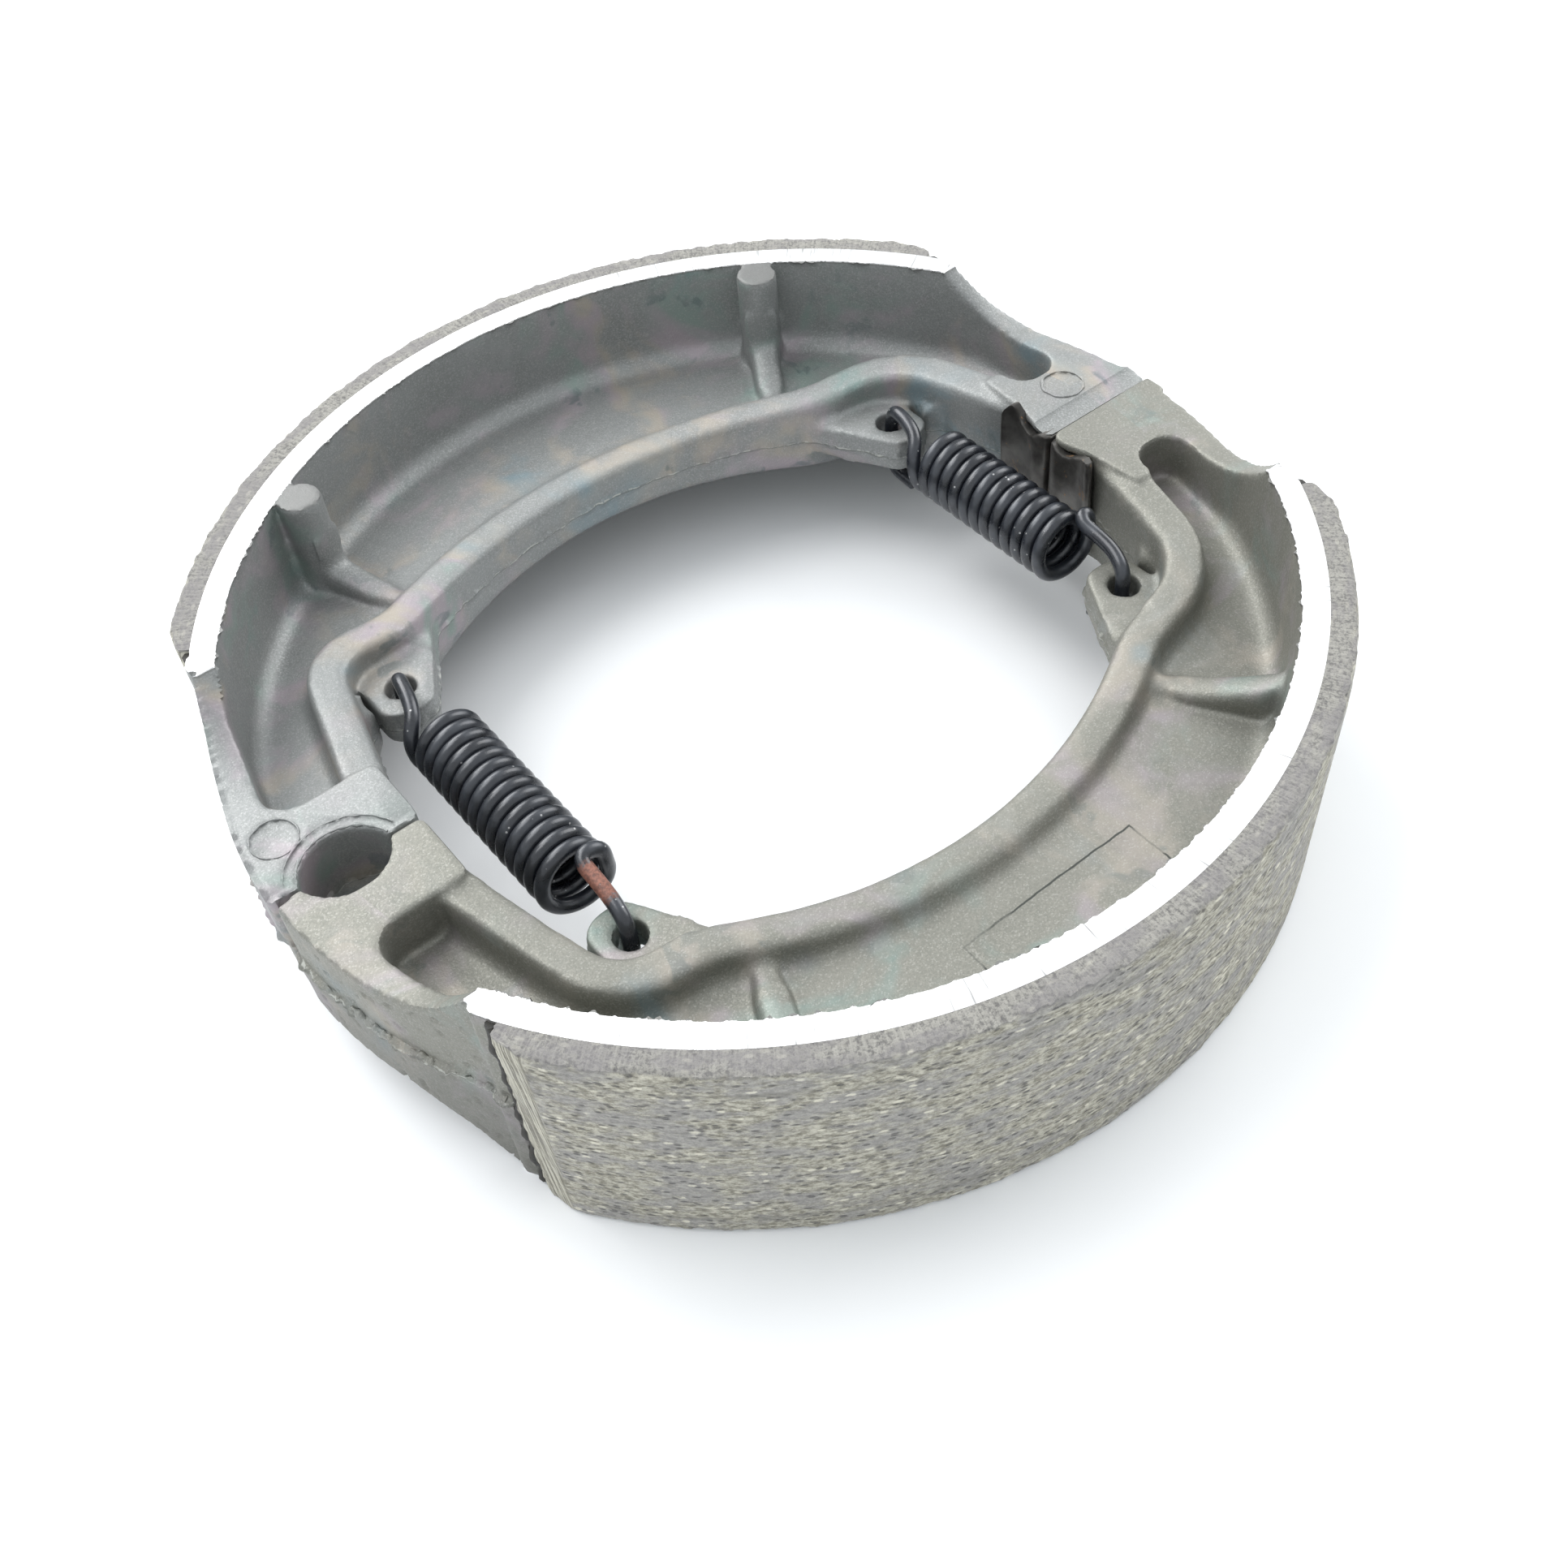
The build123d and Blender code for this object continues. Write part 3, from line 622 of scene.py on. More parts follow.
def times(tree, value, other):
    """Two values multiplied."""
    return calc(tree, "MULTIPLY", value, other)


def plus(tree, value, other):
    """Two values added."""
    return calc(tree, "ADD", value, other)


def minus(tree, value, other):
    """The first value less the second."""
    return calc(tree, "SUBTRACT", value, other)


def size_of(tree, value):
    """A value without its sign."""
    return calc(tree, "ABSOLUTE", value)


def apart(tree, value, other):
    """How far two values are from each other."""
    return size_of(tree, minus(tree, value, other))


def above(tree, value, limit):
    """1 where a value is above the limit, 0 elsewhere."""
    return calc(tree, "GREATER_THAN", value, limit)


def swing(tree, value, reach):
    """A 0 to 1 noise turned into one about zero, this far from its lowest to its highest."""
    return times(tree, minus(tree, value, 0.5), reach)


def fade(tree, value, start, end, low=0.0, high=1.0):
    """A value that goes smoothly from low to high as the first one goes from start to end."""
    inputs = {0: value, 1: start, 2: end, 3: low, 4: high}
    return put(tree, "MapRange", inputs, interpolation_type="SMOOTHSTEP").outputs[0]


def tint(tree, share, base, over):
    """One colour laid over another by a share."""
    return put(tree, "Mix", {0: share, 6: base, 7: over}, data_type="RGBA").outputs[2]


def stain(tree, skin, where, strength, colour):
    """A colour laid over a skin where a mask says so, at most this strong."""
    return tint(tree, times(tree, where, strength), skin, colour)


def noise(tree, vector, size_mm, detail, roughness, distortion=0.0):
    """Noise whose blotches are about this many millimetres across, from 0 to 1."""
    return put(tree, "TexNoise", {
        "Vector": vector,
        "Scale": MM_PER_METRE / size_mm,
        "Detail": detail,
        "Roughness": roughness,
        "Distortion": distortion,
    }).outputs[0]


def cells(tree, vector, scale):
    """Random cells, this many to a metre: how far from a cell's middle, and its colour."""
    made = put(tree, "TexVoronoi", {"Vector": vector, "Scale": scale})
    return made.outputs[0], made.outputs[1]


def channel(tree, colour, number):
    """Red, green or blue of a colour, as 0, 1 or 2."""
    return put(tree, "SeparateColor", {0: colour}).outputs[number]


def grains(tree, vector, size_mm, number, limit, fibre):
    """Frayed grains of this size, in the cells with this channel of their colour above a limit."""
    away, colour = cells(tree, vector, MM_PER_METRE / size_mm)
    chosen = above(tree, channel(tree, colour, number), limit)
    frayed = plus(tree, away, times(tree, fibre, 0.5))
    return times(tree, chosen, fade(tree, frayed, 0.75, 0.45))


def ramp(tree, value, *stops):
    """Colours in soft steps along a value."""
    made = put(tree, "ValToRGB", {0: value})
    band = made.color_ramp
    band.interpolation = "EASE"
    while len(band.elements) < len(stops):
        band.elements.new(0.5)
    for element, (position, colour) in zip(band.elements, stops):
        element.position = position
        element.color = colour
    return made.outputs[0]


def grey(value):
    """An opaque grey."""
    return (value, value, value, 1)


def effect(name, inputs, outputs):
    """An empty shader node group: each input is a name, a kind and a default, and each output
    is a name and a kind."""
    tree = bpy.data.node_groups.new(name, "ShaderNodeTree")
    for title, kind, default in inputs:
        socket = tree.interface.new_socket(title, in_out="INPUT", socket_type="NodeSocket" + kind)
        if default is not None:
            socket.default_value = default
    for title, kind in outputs:
        tree.interface.new_socket(title, in_out="OUTPUT", socket_type="NodeSocket" + kind)
    return tree, tree.nodes.new("NodeGroupInput").outputs, tree.nodes.new("NodeGroupOutput").inputs


def use(tree, group, **inputs):
    """Place an effect in a material, with its own values; returns its outputs."""
    made = tree.nodes.new("ShaderNodeGroup")
    made.node_tree = group
    for title, value in inputs.items():
        wire(tree, value, made.inputs[title.replace("_", " ")])
    return made.outputs


def effect_round_the_drum():
    """Where a point is round the drum: arc length, radius and height, in metres."""
    tree, given, out = effect(
        "round_the_drum",
        [("Place", "Vector", None), ("Centre", "Float", 0.0)],
        [("Along", "Float"), ("Radius", "Float"), ("Height", "Float"), ("Around", "Vector")],
    )
    x, place_y, height = put(tree, "SeparateXYZ", {0: given["Place"]}).outputs
    y = minus(tree, place_y, given["Centre"])
    turn = calc(tree, "ARCTAN2", x, size_of(tree, y))
    along = times(tree, turn, DRUM_RADIUS)
    radius = calc(tree, "SQRT", plus(tree, times(tree, x, x), times(tree, y, y)))
    around = put(tree, "CombineXYZ", {0: along, 1: radius, 2: height}).outputs[0]
    found = {"Along": along, "Radius": radius, "Height": height, "Around": around}
    for title, value in found.items():
        wire(tree, value, out[title])
    return tree


def effect_cast_grain():
    """The fine grain with painted glints, and the cloudiness of a die-cast skin, with its height
    for a bump.
    """
    tree, given, out = effect(
        "cast_grain",
        [("Place", "Vector", None), ("Clouds", "Float", 1.0)],
        [("Grain and glint", "Float"), ("Cloud", "Float"), ("Height", "Float"), ("Painted glint", "Float")],
    )
    fine = noise(tree, given["Place"], 0.2, 3, 0.6)
    middle = noise(tree, given["Place"], 0.7, 2, 0.5)
    cloud = noise(tree, given["Place"], 9, 4, 0.6, 0.4)
    # painted glints: pale cells that stand in for light glinting off the grain
    glint = channel(tree, cells(tree, given["Place"], MM_PER_METRE / 0.13)[1], 0)
    grain_and_glint = plus(tree, times(tree, fine, 0.7), times(tree, glint, 0.3))
    wire(tree, grain_and_glint, out["Grain and glint"])
    wire(tree, above(tree, glint, 0.90), out["Painted glint"])
    wire(tree, times(tree, fade(tree, cloud, 0.3, 0.7), given["Clouds"]), out["Cloud"])
    wire(tree, plus(tree, times(tree, fine, 0.6), times(tree, middle, 0.7)), out["Height"])
    return tree


def effect_wear_and_hollow_shade():
    """From the relief painted on a mesh: where edges are rubbed bright, and the hollows that take
    the oxide film and the painted shade.
    """
    tree, given, out = effect(
        "wear_and_hollow_shade",
        [
            ("Place", "Vector", None),
            ("Relief", "Float", 0.5),
            ("Edge", "Float", 0.6),
            ("Hollow", "Float", 0.45),
            ("Patchiness", "Float", 0.5),
        ],
        [("Worn", "Float"), ("Film and shade", "Float")],
    )
    broken = swing(tree, noise(tree, given["Place"], 1.6, 4, 0.65), given["Patchiness"])
    patchy_relief = plus(tree, given["Relief"], times(tree, broken, 0.3))
    past_edge = minus(tree, patchy_relief, given["Edge"])
    wire(tree, fade(tree, past_edge, 0.0, 0.12), out["Worn"])
    below_hollow = minus(tree, given["Hollow"], given["Relief"])
    wire(tree, fade(tree, below_hollow, 0.0, 0.2), out["Film and shade"])
    return tree


def effect_oxide_film():
    """Thin-film stains, teal through grey to pink and straw, with darker round spots."""
    tree, given, out = effect(
        "oxide_film",
        [("Place", "Vector", None)],
        [("Colour", "Color"), ("Amount", "Float")],
    )
    hue = noise(tree, given["Place"], 22, 3, 0.55, 0.8)
    colour = ramp(
        tree, hue,
        (0.30, (0.17, 0.31, 0.29, 1)),
        (0.42, (0.29, 0.36, 0.33, 1)),
        (0.50, (0.44, 0.37, 0.41, 1)),
        (0.58, (0.47, 0.41, 0.35, 1)),
        (0.70, (0.25, 0.33, 0.37, 1)),
    )
    spot = fade(tree, noise(tree, given["Place"], 6, 3, 0.6, 0.5), 0.60, 0.65)
    wire(tree, stain(tree, colour, spot, 0.6, (0.085, 0.13, 0.145, 1)), out["Colour"])
    amount = noise(tree, given["Place"], 7, 3, 0.6, 0.6)
    wire(tree, fade(tree, amount, 0.42, 0.68), out["Amount"])
    return tree


def effect_dust():
    """Sparse pale specks."""
    tree, given, out = effect(
        "dust",
        [("Place", "Vector", None), ("Size mm", "Float", 0.4), ("Share", "Float", 0.1)],
        [("Specks", "Float")],
    )
    scale = calc(tree, "DIVIDE", MM_PER_METRE, given["Size mm"])
    away, colour = cells(tree, given["Place"], scale)
    chosen = calc(tree, "LESS_THAN", channel(tree, colour, 1), given["Share"])
    wire(tree, times(tree, chosen, fade(tree, away, 0.34, 0.16)), out["Specks"])
    return tree


def effect_parting_seam():
    """A painted highlight along the broken edge of flash where the die halves met, and the painted
    shadow line beside it.
    """
    tree, given, out = effect(
        "parting_seam",
        [("Around", "Vector", None), ("Height", "Float", 0.0)],
        [("Bright", "Float"), ("Dark", "Float")],
    )
    sway = swing(tree, noise(tree, given["Around"], 7, 2, 0.5), 1.1 * MM)
    off = minus(tree, minus(tree, given["Height"], MID_HEIGHT), sway)
    broken = fade(tree, noise(tree, given["Around"], 1.3, 4, 0.7), 0.46, 0.58)
    ridge = fade(tree, size_of(tree, off), 0.11 * MM, 0.04 * MM)
    wire(tree, times(tree, ridge, broken), out["Bright"])
    off_shadow = size_of(tree, plus(tree, off, 0.14 * MM))
    wire(tree, fade(tree, off_shadow, 0.13 * MM, 0.04 * MM), out["Dark"])
    return tree


def effect_insert_outline():
    """The thin line that a rectangular insert in the die leaves on the web."""
    tree, given, out = effect(
        "insert_outline",
        [("Place", "Vector", None), ("Middle Y", "Float", 0.0), ("Level", "Float", 0.0)],
        [("Line", "Float")],
    )
    x, y, z = put(tree, "SeparateXYZ", {0: given["Place"]}).outputs
    wander = swing(tree, noise(tree, given["Place"], 1.5, 2, 0.5), 0.3 * MM)
    beyond_x = minus(tree, apart(tree, x, INSERT_MIDDLE[0]), INSERT_HALF_SIZE[0])
    beyond_y = minus(tree, apart(tree, y, given["Middle Y"]), INSERT_HALF_SIZE[1])
    beyond = plus(tree, calc(tree, "MAXIMUM", beyond_x, beyond_y), wander)
    off_line = size_of(tree, beyond)
    near_web = calc(tree, "LESS_THAN", apart(tree, z, given["Level"]), 0.9 * MM)
    patchy = fade(tree, noise(tree, given["Place"], 4.0, 2, 0.5), 0.40, 0.52, 0.35, 1.0)
    line = times(tree, fade(tree, off_line, 0.13 * MM, 0.05 * MM), patchy)
    wire(tree, times(tree, line, near_web), out["Line"])
    return tree


def effect_saw_marks():
    """Close parallel scratches across a strip, finer and coarser ones mixed."""
    tree, given, out = effect(
        "saw_marks",
        [("Along", "Float", 0.0), ("Across", "Float", 0.0), ("Spacing mm", "Float", 0.3)],
        [("Marks", "Float")],
    )
    lengthwise = calc(tree, "DIVIDE", given["Along"], given["Spacing mm"])
    crosswise = times(tree, given["Across"], 0.12)
    place = put(tree, "CombineXYZ", {0: lengthwise, 1: crosswise}).outputs[0]
    wire(tree, noise(tree, place, 1, 3, 0.6), out["Marks"])
    return tree


ROUND_THE_DRUM = effect_round_the_drum()
CAST_GRAIN = effect_cast_grain()
WEAR_AND_HOLLOW_SHADE = effect_wear_and_hollow_shade()
OXIDE_FILM = effect_oxide_film()
DUST = effect_dust()
SAW_MARKS = effect_saw_marks()
INSERT_OUTLINE = effect_insert_outline()
PARTING_SEAM = effect_parting_seam()


def new_material(name):
    """A new material with its tree, its Principled shader and its object coordinates."""
    made = bpy.data.materials.new(name)
    made.use_nodes = True
    tree = made.node_tree
    place = put(tree, "TexCoord").outputs["Object"]
    return made, tree, tree.nodes["Principled BSDF"], place


def round_the_drum(tree, place, centre):
    """Arc length, radius and height of a place, and the three as one vector."""
    spot = use(tree, ROUND_THE_DRUM, Place=place, Centre=centre)
    return [spot[title] for title in ("Along", "Radius", "Height", "Around")]


def relief_of(tree):
    """The relief painted on the mesh, pale on edges and dark in hollows."""
    return put(tree, "Attribute", attribute_name="relief").outputs["Fac"]


def bump(tree, height, depth_mm, strength=1.0):
    """A normal that follows a height whose 0 to 1 stands for this depth."""
    inputs = {"Height": height, "Distance": depth_mm * MM, "Strength": strength}
    return put(tree, "Bump", inputs).outputs[0]


def cast_aluminium(name, centre, insert_level, stained, body, high, low):
    """Matt die-cast skin with worn edges and stains, painted glints, painted shade in the hollows
    and on the lower outside walls, a painted highlight and shadow along the parting seam, and the
    machined rim's bright side faces.
    """
    made, tree, shader, place = new_material(name)
    along, radius, height, around = round_the_drum(tree, place, centre)
    grain = use(tree, CAST_GRAIN, Place=place, Clouds=1.0)
    relief = relief_of(tree)
    wear_and_shade = use(tree, WEAR_AND_HOLLOW_SHADE, Place=place, Relief=relief, Edge=0.562, Hollow=0.5, Patchiness=1.5)
    film = use(tree, OXIDE_FILM, Place=place)
    marks = use(tree, SAW_MARKS, Along=along, Across=radius, Spacing_mm=0.35)["Marks"]

    # the skin as cast, its stains and its worn edges, with painted glints, painted shade in the
    # hollows, and a painted highlight and shadow along the parting seam
    skin = tint(tree, grain["Cloud"], body, low)
    # the fine grain with its painted glints lifts the skin towards the high colour
    skin = tint(tree, fade(tree, grain["Grain and glint"], 0.35, 0.75), skin, high)
    level = apart(tree, height, MID_HEIGHT)
    near_web = fade(tree, level, 6.0 * MM, 4.6 * MM, 0.22, 1.0)
    sheltered = calc(tree, "MAXIMUM", near_web, above(tree, radius, 46 * MM))
    film_share = times(tree, sheltered, plus(tree, times(tree, wear_and_shade["Film and shade"], 0.4), stained))
    skin = stain(tree, skin, film["Amount"], film_share, film["Colour"])
    seam = use(tree, PARTING_SEAM, Around=around, Height=height)
    # painted shadow line and painted highlight along the parting seam
    skin = stain(tree, skin, seam["Dark"], 0.45, (0.07, 0.072, 0.065, 1))
    skin = stain(tree, skin, seam["Bright"], 0.75, (0.66, 0.66, 0.61, 1))
    # painted glints: pale specks for light glinting off the grain
    skin = stain(tree, skin, grain["Painted glint"], 0.14, (0.70, 0.70, 0.67, 1))
    # painted shade: the hollows darkened
    skin = stain(tree, skin, wear_and_shade["Film and shade"], 0.35, (0.16, 0.18, 0.17, 1))
    middle_y = math.copysign(INSERT_MIDDLE[1], -centre)
    outline = use(tree, INSERT_OUTLINE, Place=place, Middle_Y=middle_y, Level=insert_level)["Line"]
    skin = stain(tree, skin, outline, 0.95, (0.05, 0.055, 0.05, 1))
    skin = stain(tree, skin, wear_and_shade["Worn"], 0.65, (0.74, 0.74, 0.73, 1))

    # painted shade: outside walls are darker below the parting line
    below_parting = fade(tree, height, 12.7 * MM, 11.3 * MM)
    lower_wall_shade = times(tree, below_parting, above(tree, radius, RIM_INNER + 0.4 * MM))
    skin = stain(tree, skin, lower_wall_shade, 0.35, (0.12, 0.12, 0.115, 1))

    # the machined side faces of the rim, with a ragged inner border
    side_face = above(tree, level, SIDE_FACE)
    near_side = fade(tree, level, 12.1 * MM, 12.4 * MM)
    skin = stain(tree, skin, near_side, 0.85, (0.17, 0.17, 0.165, 1))
    ragged = swing(tree, noise(tree, around, 0.5, 3, 0.7), 0.6 * MM)
    past_border = plus(tree, minus(tree, radius, RIM_INNER - 0.05 * MM), ragged)
    machined = times(tree, side_face, above(tree, past_border, 0.0))
    cut = ramp(tree, marks, (0.30, grey(0.34)), (0.42, grey(0.70)), (0.7, grey(0.80)))

    wire(tree, tint(tree, machined, skin, cut), shader.inputs["Base Color"])
    wire(tree, plus(tree, 0.62, times(tree, machined, 0.3)), shader.inputs["Metallic"])
    rough = minus(tree, 0.62, times(tree, wear_and_shade["Worn"], 0.2))
    rough = minus(tree, rough, times(tree, grain["Grain and glint"], 0.12))
    rough = minus(tree, rough, times(tree, machined, 0.12))
    wire(tree, rough, shader.inputs["Roughness"])
    relief_height = tint(tree, machined, grain["Height"], marks)
    wire(tree, bump(tree, relief_height, 0.07, 0.8), shader.inputs["Normal"])
    return made


def friction_composite(name, centre):
    """Pressed friction material: streaks and grains along the rubbing face, and saw marks on
    its sides and bevels."""
    made, tree, shader, place = new_material(name)
    along, radius, height, around = round_the_drum(tree, place, centre)
    stretched = times(tree, along, 0.42)
    streaked = put(tree, "CombineXYZ", {0: stretched, 1: radius, 2: height}).outputs[0]
    streak = noise(tree, streaked, 0.42, 4, 0.7)
    blotch = noise(tree, streaked, 2.4, 5, 0.65)
    fibre = noise(tree, around, 0.35, 3, 0.7)
    pale_grain = grains(tree, streaked, 0.5, 0, 0.86, fibre)
    dark_grain = grains(tree, streaked, 0.36, 1, 0.84, fibre)
    marks = use(tree, SAW_MARKS, Along=along, Across=radius, Spacing_mm=0.22)["Marks"]

    # the bevels' marks lean, the other way at each end
    slope = times(tree, height, 0.10)
    slanted = minus(tree, along, slope)
    slanted_back = plus(tree, along, slope)
    leaning = tint(tree, above(tree, along, 0.0), slanted_back, slanted)
    ground = use(tree, SAW_MARKS, Along=leaning, Across=height, Spacing_mm=0.25)["Marks"]

    # the rubbing face
    face = fade(tree, streak, 0.34, 0.66)
    face = tint(tree, face, (0.19, 0.179, 0.141, 1), (0.51, 0.49, 0.413, 1))
    face = tint(tree, fade(tree, blotch, 0.42, 0.60, 0, 0.6), face, (0.265, 0.26, 0.27, 1))
    face = tint(tree, fade(tree, fibre, 0.45, 0.7, 0, 0.35), face, (0.15, 0.145, 0.13, 1))
    face = stain(tree, face, pale_grain, 0.7, (0.70, 0.67, 0.56, 1))
    face = stain(tree, face, dark_grain, 0.65, (0.08, 0.078, 0.08, 1))
    level = apart(tree, height, MID_HEIGHT)
    # painted shadow lines of a step near each edge of the rubbing face
    step_shadow = fade(tree, apart(tree, level, STEP_SHADOW_LEVEL), 0.5 * MM, 0.1 * MM, 0, 0.5)
    face = stain(tree, face, step_shadow, fade(tree, blotch, 0.35, 0.6), (0.17, 0.165, 0.14, 1))

    # the bevelled ends
    bevelled = fade(tree, size_of(tree, along), *BEVEL_RUN)
    ground_face = fade(tree, ground, 0.40, 0.60)
    ground_face = tint(tree, ground_face, (0.15, 0.14, 0.112, 1), (0.52, 0.50, 0.42, 1))
    face = stain(tree, face, bevelled, 0.75, ground_face)

    # the sides
    sawn_share = times(tree, fade(tree, marks, 0.35, 0.65), 0.25)
    fibre_share = times(tree, fade(tree, fibre, 0.35, 0.65), 0.75)
    side = plus(tree, sawn_share, fibre_share)
    side = tint(tree, side, (0.11, 0.106, 0.102, 1), (0.38, 0.37, 0.335, 1))
    side = tint(tree, fade(tree, blotch, 0.42, 0.6, 0, 0.55), side, (0.20, 0.19, 0.195, 1))
    side = stain(tree, side, fade(tree, fibre, 0.5, 0.7), 0.5, (0.12, 0.115, 0.11, 1))
    side = stain(tree, side, pale_grain, 0.25, (0.52, 0.50, 0.43, 1))
    on_side = fade(tree, level, 12.2 * MM, 12.4 * MM)

    wire(tree, tint(tree, on_side, face, side), shader.inputs["Base Color"])
    wire(tree, fade(tree, fibre, 0.3, 0.7, 0.75, 0.95), shader.inputs["Roughness"])
    rough_face = plus(tree, times(tree, streak, 0.8), times(tree, fibre, 0.5))
    rough_face = minus(tree, rough_face, times(tree, dark_grain, 0.6))
    rough_face = tint(tree, bevelled, rough_face, ground)
    sawn = plus(tree, times(tree, marks, 0.4), times(tree, fibre, 0.6))
    wire(tree, bump(tree, tint(tree, on_side, rough_face, sawn), 0.22), shader.inputs["Normal"])
    return made


def near_black_lumps(name):
    """Nearly black, with lumps."""
    made, tree, shader, place = new_material(name)
    lumps = noise(tree, place, 0.6, 4, 0.6)
    colour = ramp(tree, lumps, (0.3, (0.014, 0.013, 0.012, 1)), (0.75, (0.05, 0.046, 0.04, 1)))
    wire(tree, colour, shader.inputs["Base Color"])
    wire(tree, fade(tree, lumps, 0.3, 0.7, 0.55, 0.85), shader.inputs["Roughness"])
    wire(tree, bump(tree, lumps, 0.15, 0.8), shader.inputs["Normal"])
    return made


def black_spring_wire(name):
    """Oil-blackened wire with dust on it and rust on one hook."""
    made, tree, shader, place = new_material(name)
    specks = use(tree, DUST, Place=place, Size_mm=0.4, Share=0.035)["Specks"]
    cloud = noise(tree, place, 2.5, 4, 0.6)
    scale = noise(tree, place, 0.35, 3, 0.6)
    back = tuple(-step for step in RUST_SPOT)
    from_rust = put(tree, "Mapping", {"Vector": place, "Location": back}).outputs[0]
    away = put(tree, "VectorMath", {0: from_rust}, operation="LENGTH").outputs["Value"]
    ragged = plus(tree, away, swing(tree, scale, 2.0 * MM))
    rust = fade(tree, ragged, 2.6 * MM, 1.9 * MM)
    skin = fade(tree, cloud, 0.35, 0.7)
    skin = tint(tree, skin, (0.011, 0.013, 0.018, 1), (0.031, 0.036, 0.046, 1))
    rusty = ramp(tree, scale, (0.3, (0.10, 0.035, 0.022, 1)), (0.7, (0.26, 0.10, 0.065, 1)))
    skin = tint(tree, rust, skin, rusty)
    wire(tree, stain(tree, skin, specks, 0.6, (0.62, 0.62, 0.62, 1)), shader.inputs["Base Color"])
    rough = plus(tree, fade(tree, cloud, 0.3, 0.7, 0.24, 0.35), times(tree, rust, 0.35))
    wire(tree, rough, shader.inputs["Roughness"])
    wire(tree, 0.3, shader.inputs["Metallic"])
    wire(tree, 0.9, shader.inputs["Specular IOR Level"])
    wire(tree, bump(tree, scale, 0.02, 0.6), shader.inputs["Normal"])
    return made


def clip_steel(name):
    """Dark rolled steel with rust spots and rubbed edges."""
    made, tree, shader, place = new_material(name)
    relief = relief_of(tree)
    cloud = noise(tree, place, 3.0, 4, 0.6)
    rust = fade(tree, noise(tree, place, 1.8, 4, 0.7, 0.5), 0.60, 0.70)
    fine = noise(tree, place, 0.3, 3, 0.6)
    skin = fade(tree, cloud, 0.3, 0.7)
    skin = tint(tree, skin, (0.064, 0.060, 0.056, 1), (0.155, 0.149, 0.140, 1))
    skin = stain(tree, skin, rust, 0.75, (0.36, 0.19, 0.07, 1))
    skin = tint(tree, fade(tree, relief, 0.62, 0.8, 0, 0.6), skin, (0.5, 0.49, 0.47, 1))
    wire(tree, skin, shader.inputs["Base Color"])
    wire(tree, plus(tree, 0.34, times(tree, rust, 0.4)), shader.inputs["Roughness"])
    wire(tree, minus(tree, 0.7, times(tree, rust, 0.6)), shader.inputs["Metallic"])
    wire(tree, bump(tree, fine, 0.02, 0.6), shader.inputs["Normal"])
    return made


def white_table(name):
    """The plain white table under the shoes."""
    made, tree, shader, place = new_material(name)
    fine = noise(tree, place, 0.6, 3, 0.6)
    wire(tree, fade(tree, fine, 0.3, 0.7, 0.78, 0.86), shader.inputs["Roughness"])
    wire(tree, (0.88, 0.89, 0.90, 1), shader.inputs["Base Color"])
    return made


def finish_in(piece, material):
    """Give a piece just this material."""
    piece.data.materials.clear()
    piece.data.materials.append(material)


# ---- the pieces
leading_casting = cast_shoe("leading_shoe", "leading_casting")
paint_relief(leading_casting, 2)
trailing_casting = turned_over(leading_casting, "trailing_casting")
leading_flash = flash_beads("leading_flash")
paint_relief(leading_flash)
trailing_flash = turned_over(leading_flash, "trailing_flash")
leading_friction = friction_lining("leading_lining", "leading_friction")
trailing_friction = turned_over(leading_friction, "trailing_friction")
leading_dark_bead = dark_end_beads("leading_dark_bead")
trailing_dark_bead = turned_over(leading_dark_bead, "trailing_dark_bead")
leading_clip = cam_clip("leading_cam_clip", "leading_clip")
paint_relief(leading_clip)
trailing_clip = turned_over(leading_clip, "trailing_clip")
anchor_spring = spring("anchor_spring", LUG_HOLES[0], 14.75, lean=0.5, opened=0.7 * MM)
cam_spring = spring("cam_spring", LUG_HOLES[1], 12.75, lean=1.45, opened=0.1 * MM)

grey_casting = cast_aluminium(
    "cast_aluminium_grey",
    centre=ARC_CENTRE[1],
    insert_level=WEB_UNDERSIDE,
    stained=0.60,
    body=(0.305, 0.31, 0.31, 1),
    high=(0.37, 0.37, 0.372, 1),
    low=(0.265, 0.265, 0.262, 1),
)
olive_casting = cast_aluminium(
    "cast_aluminium_olive",
    centre=-ARC_CENTRE[1],
    insert_level=SHOE_WIDTH - WEB_UNDERSIDE,
    stained=0.25,
    body=(0.255, 0.242, 0.208, 1),
    high=(0.315, 0.298, 0.258, 1),
    low=(0.218, 0.21, 0.178, 1),
)
near_black_finish = near_black_lumps("near_black_lumps")
leading_composite = friction_composite("friction_composite_leading", ARC_CENTRE[1])
trailing_composite = friction_composite("friction_composite_trailing", -ARC_CENTRE[1])
spring_wire = black_spring_wire("black_spring_wire")
dark_clip = clip_steel("dark_clip_steel")
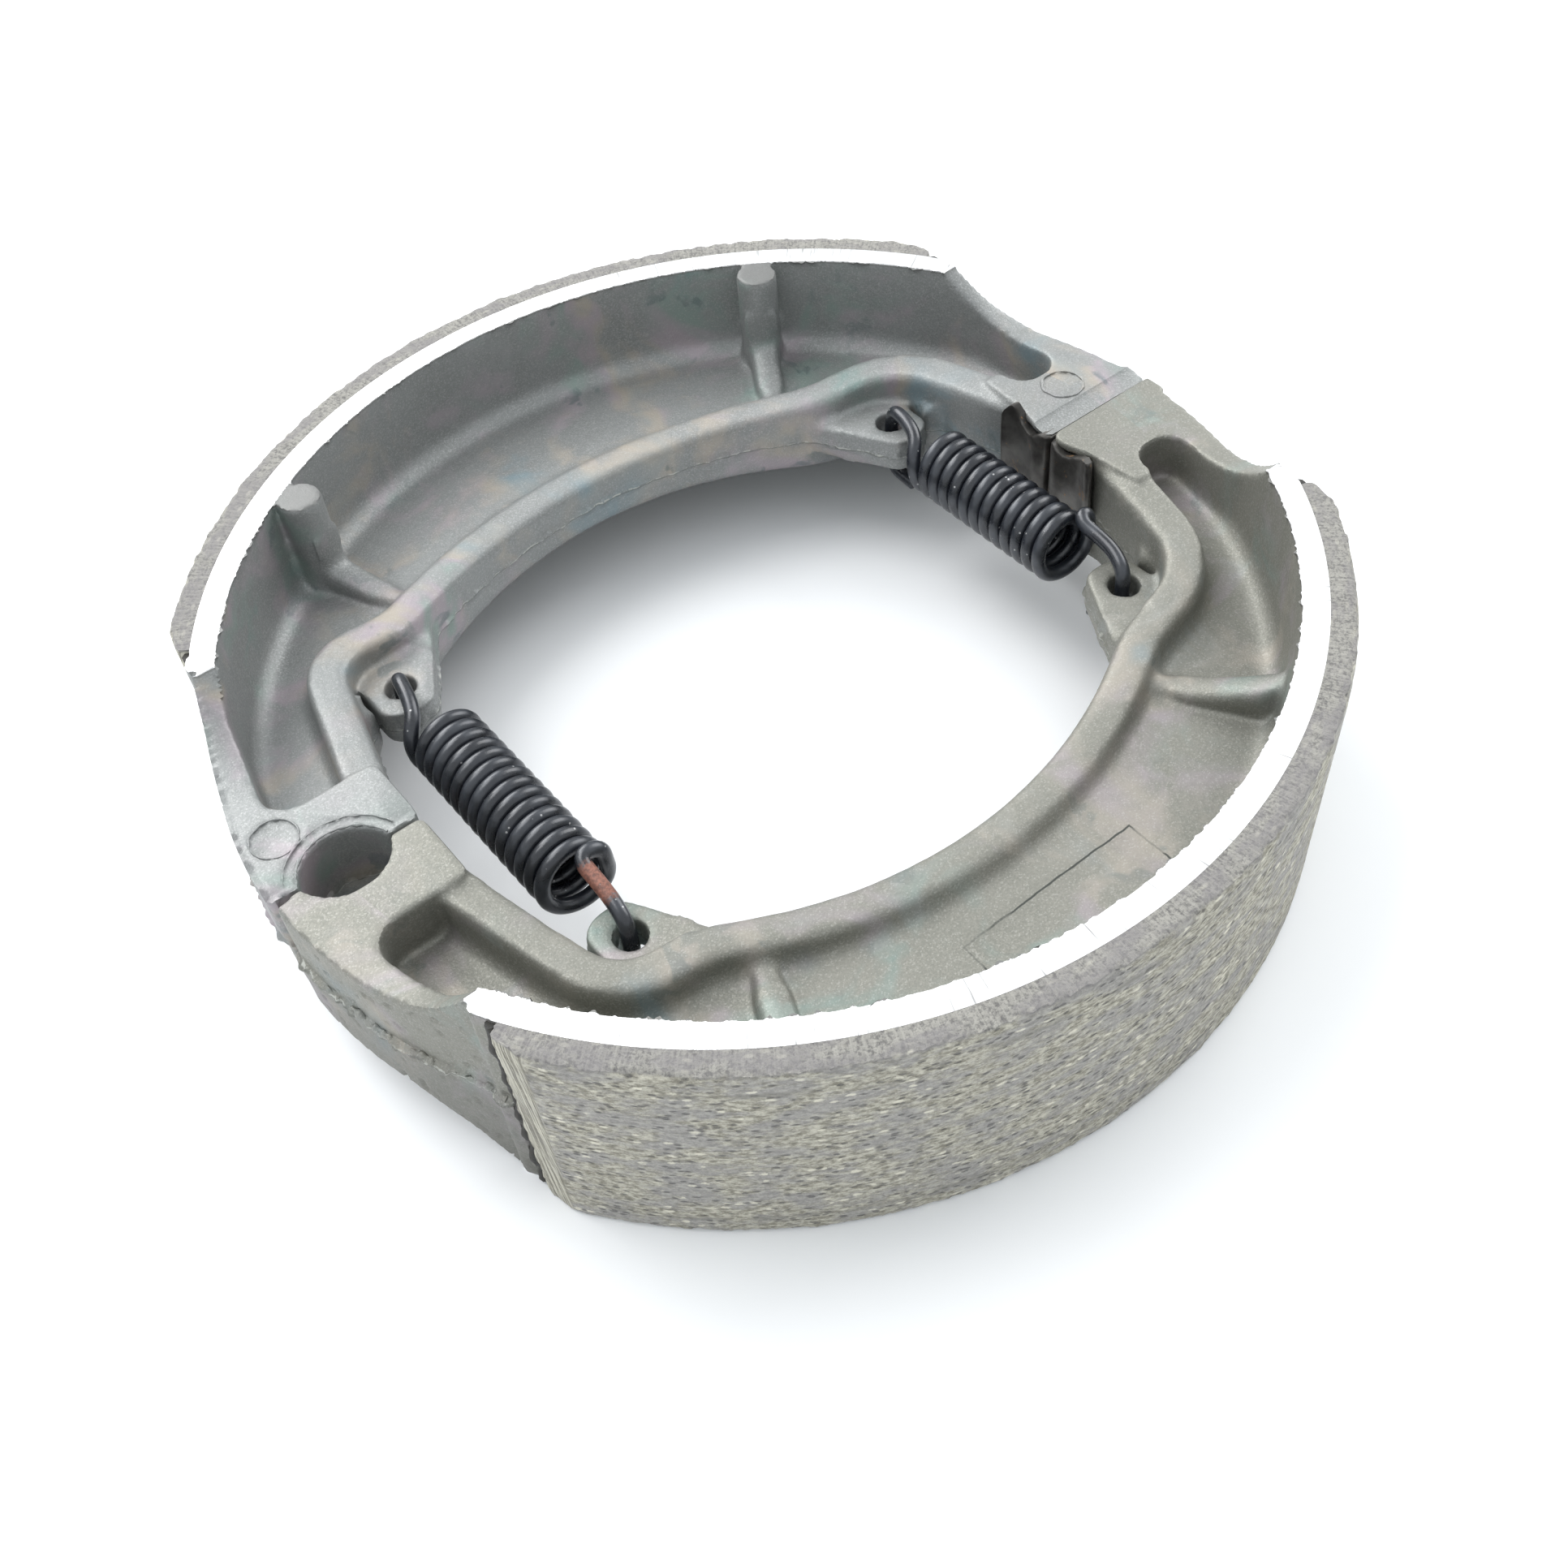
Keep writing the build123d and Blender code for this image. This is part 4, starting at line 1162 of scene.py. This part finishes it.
for piece, body, node, slot, material in (
    (leading_casting, "leading", "leading_shoe", "cast_aluminium", grey_casting),
    (trailing_casting, "trailing", "trailing_shoe", "cast_aluminium", olive_casting),
    (leading_flash, "leading", None, "cast_aluminium", grey_casting),
    (trailing_flash, "trailing", None, "cast_aluminium", olive_casting),
    (leading_friction, "leading", "leading_lining", "friction_lining", leading_composite),
    (trailing_friction, "trailing", "trailing_lining", "friction_lining", trailing_composite),
    (leading_dark_bead, "leading", None, "friction_lining", near_black_finish),
    (trailing_dark_bead, "trailing", None, "friction_lining", near_black_finish),
    (leading_clip, "leading", "leading_cam_clip", "clip_steel", dark_clip),
    (trailing_clip, "trailing", "trailing_cam_clip", "clip_steel", dark_clip),
):
    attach(piece, body)
    if node:
        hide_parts(node)
    finish_in(piece, material)
for piece, node in ((anchor_spring, "anchor_end_spring"), (cam_spring, "cam_end_spring")):
    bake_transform(piece)
    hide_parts(node)
    finish_in(piece, spring_wire)

# ---- camera, floor and light
bpy.ops.object.camera_add()
camera = bpy.context.object
camera.data.sensor_width = 36
camera.data.lens = 39.03
camera.data.clip_start = 0.005
right = Vector((0.77959, -0.62273, -0.06679))
up = Vector((0.51161, 0.57169, 0.64143))
ahead = Vector((0.36125, 0.53421, -0.76427))
camera.matrix_world = Matrix((
    (right.x, up.x, -ahead.x, -64.655 * MM),
    (right.y, up.y, -ahead.y, -96.972 * MM),
    (right.z, up.z, -ahead.z, 131.604 * MM),
    (0, 0, 0, 1),
))
bpy.context.scene.camera = camera

bpy.ops.mesh.primitive_plane_add(size=6, location=(0, 0, 0))
floor = bpy.context.object
floor.name = "floor"
finish_in(floor, white_table("white_table"))


def soft_light(name, place, size, watts):
    """A square lamp that looks at the middle of the shoes."""
    bpy.ops.object.light_add(type="AREA", location=place)
    lamp = bpy.context.object
    lamp.name = name
    lamp.data.shape = "SQUARE"
    lamp.data.size = size
    lamp.data.energy = watts
    towards = Vector((0, 0, MID_HEIGHT)) - Vector(place)
    lamp.rotation_euler = towards.to_track_quat("-Z", "Y").to_euler()


soft_light("left_softbox", (-0.22, 0.38, 0.72), size=0.5, watts=3.4)
soft_light("back_softbox", (0.02, 0.75, 0.50), size=0.5, watts=4.2)
soft_light("right_softbox", (0.65, 0.05, 0.40), size=0.5, watts=3.0)

world = bpy.data.worlds.new("studio")
bpy.context.scene.world = world
world.use_nodes = True
sky = world.node_tree.nodes["Background"]
sky.inputs["Color"].default_value = (0.94, 0.975, 1.0, 1)
sky.inputs["Strength"].default_value = 1.05
bpy.context.scene.view_settings.view_transform = "Standard"
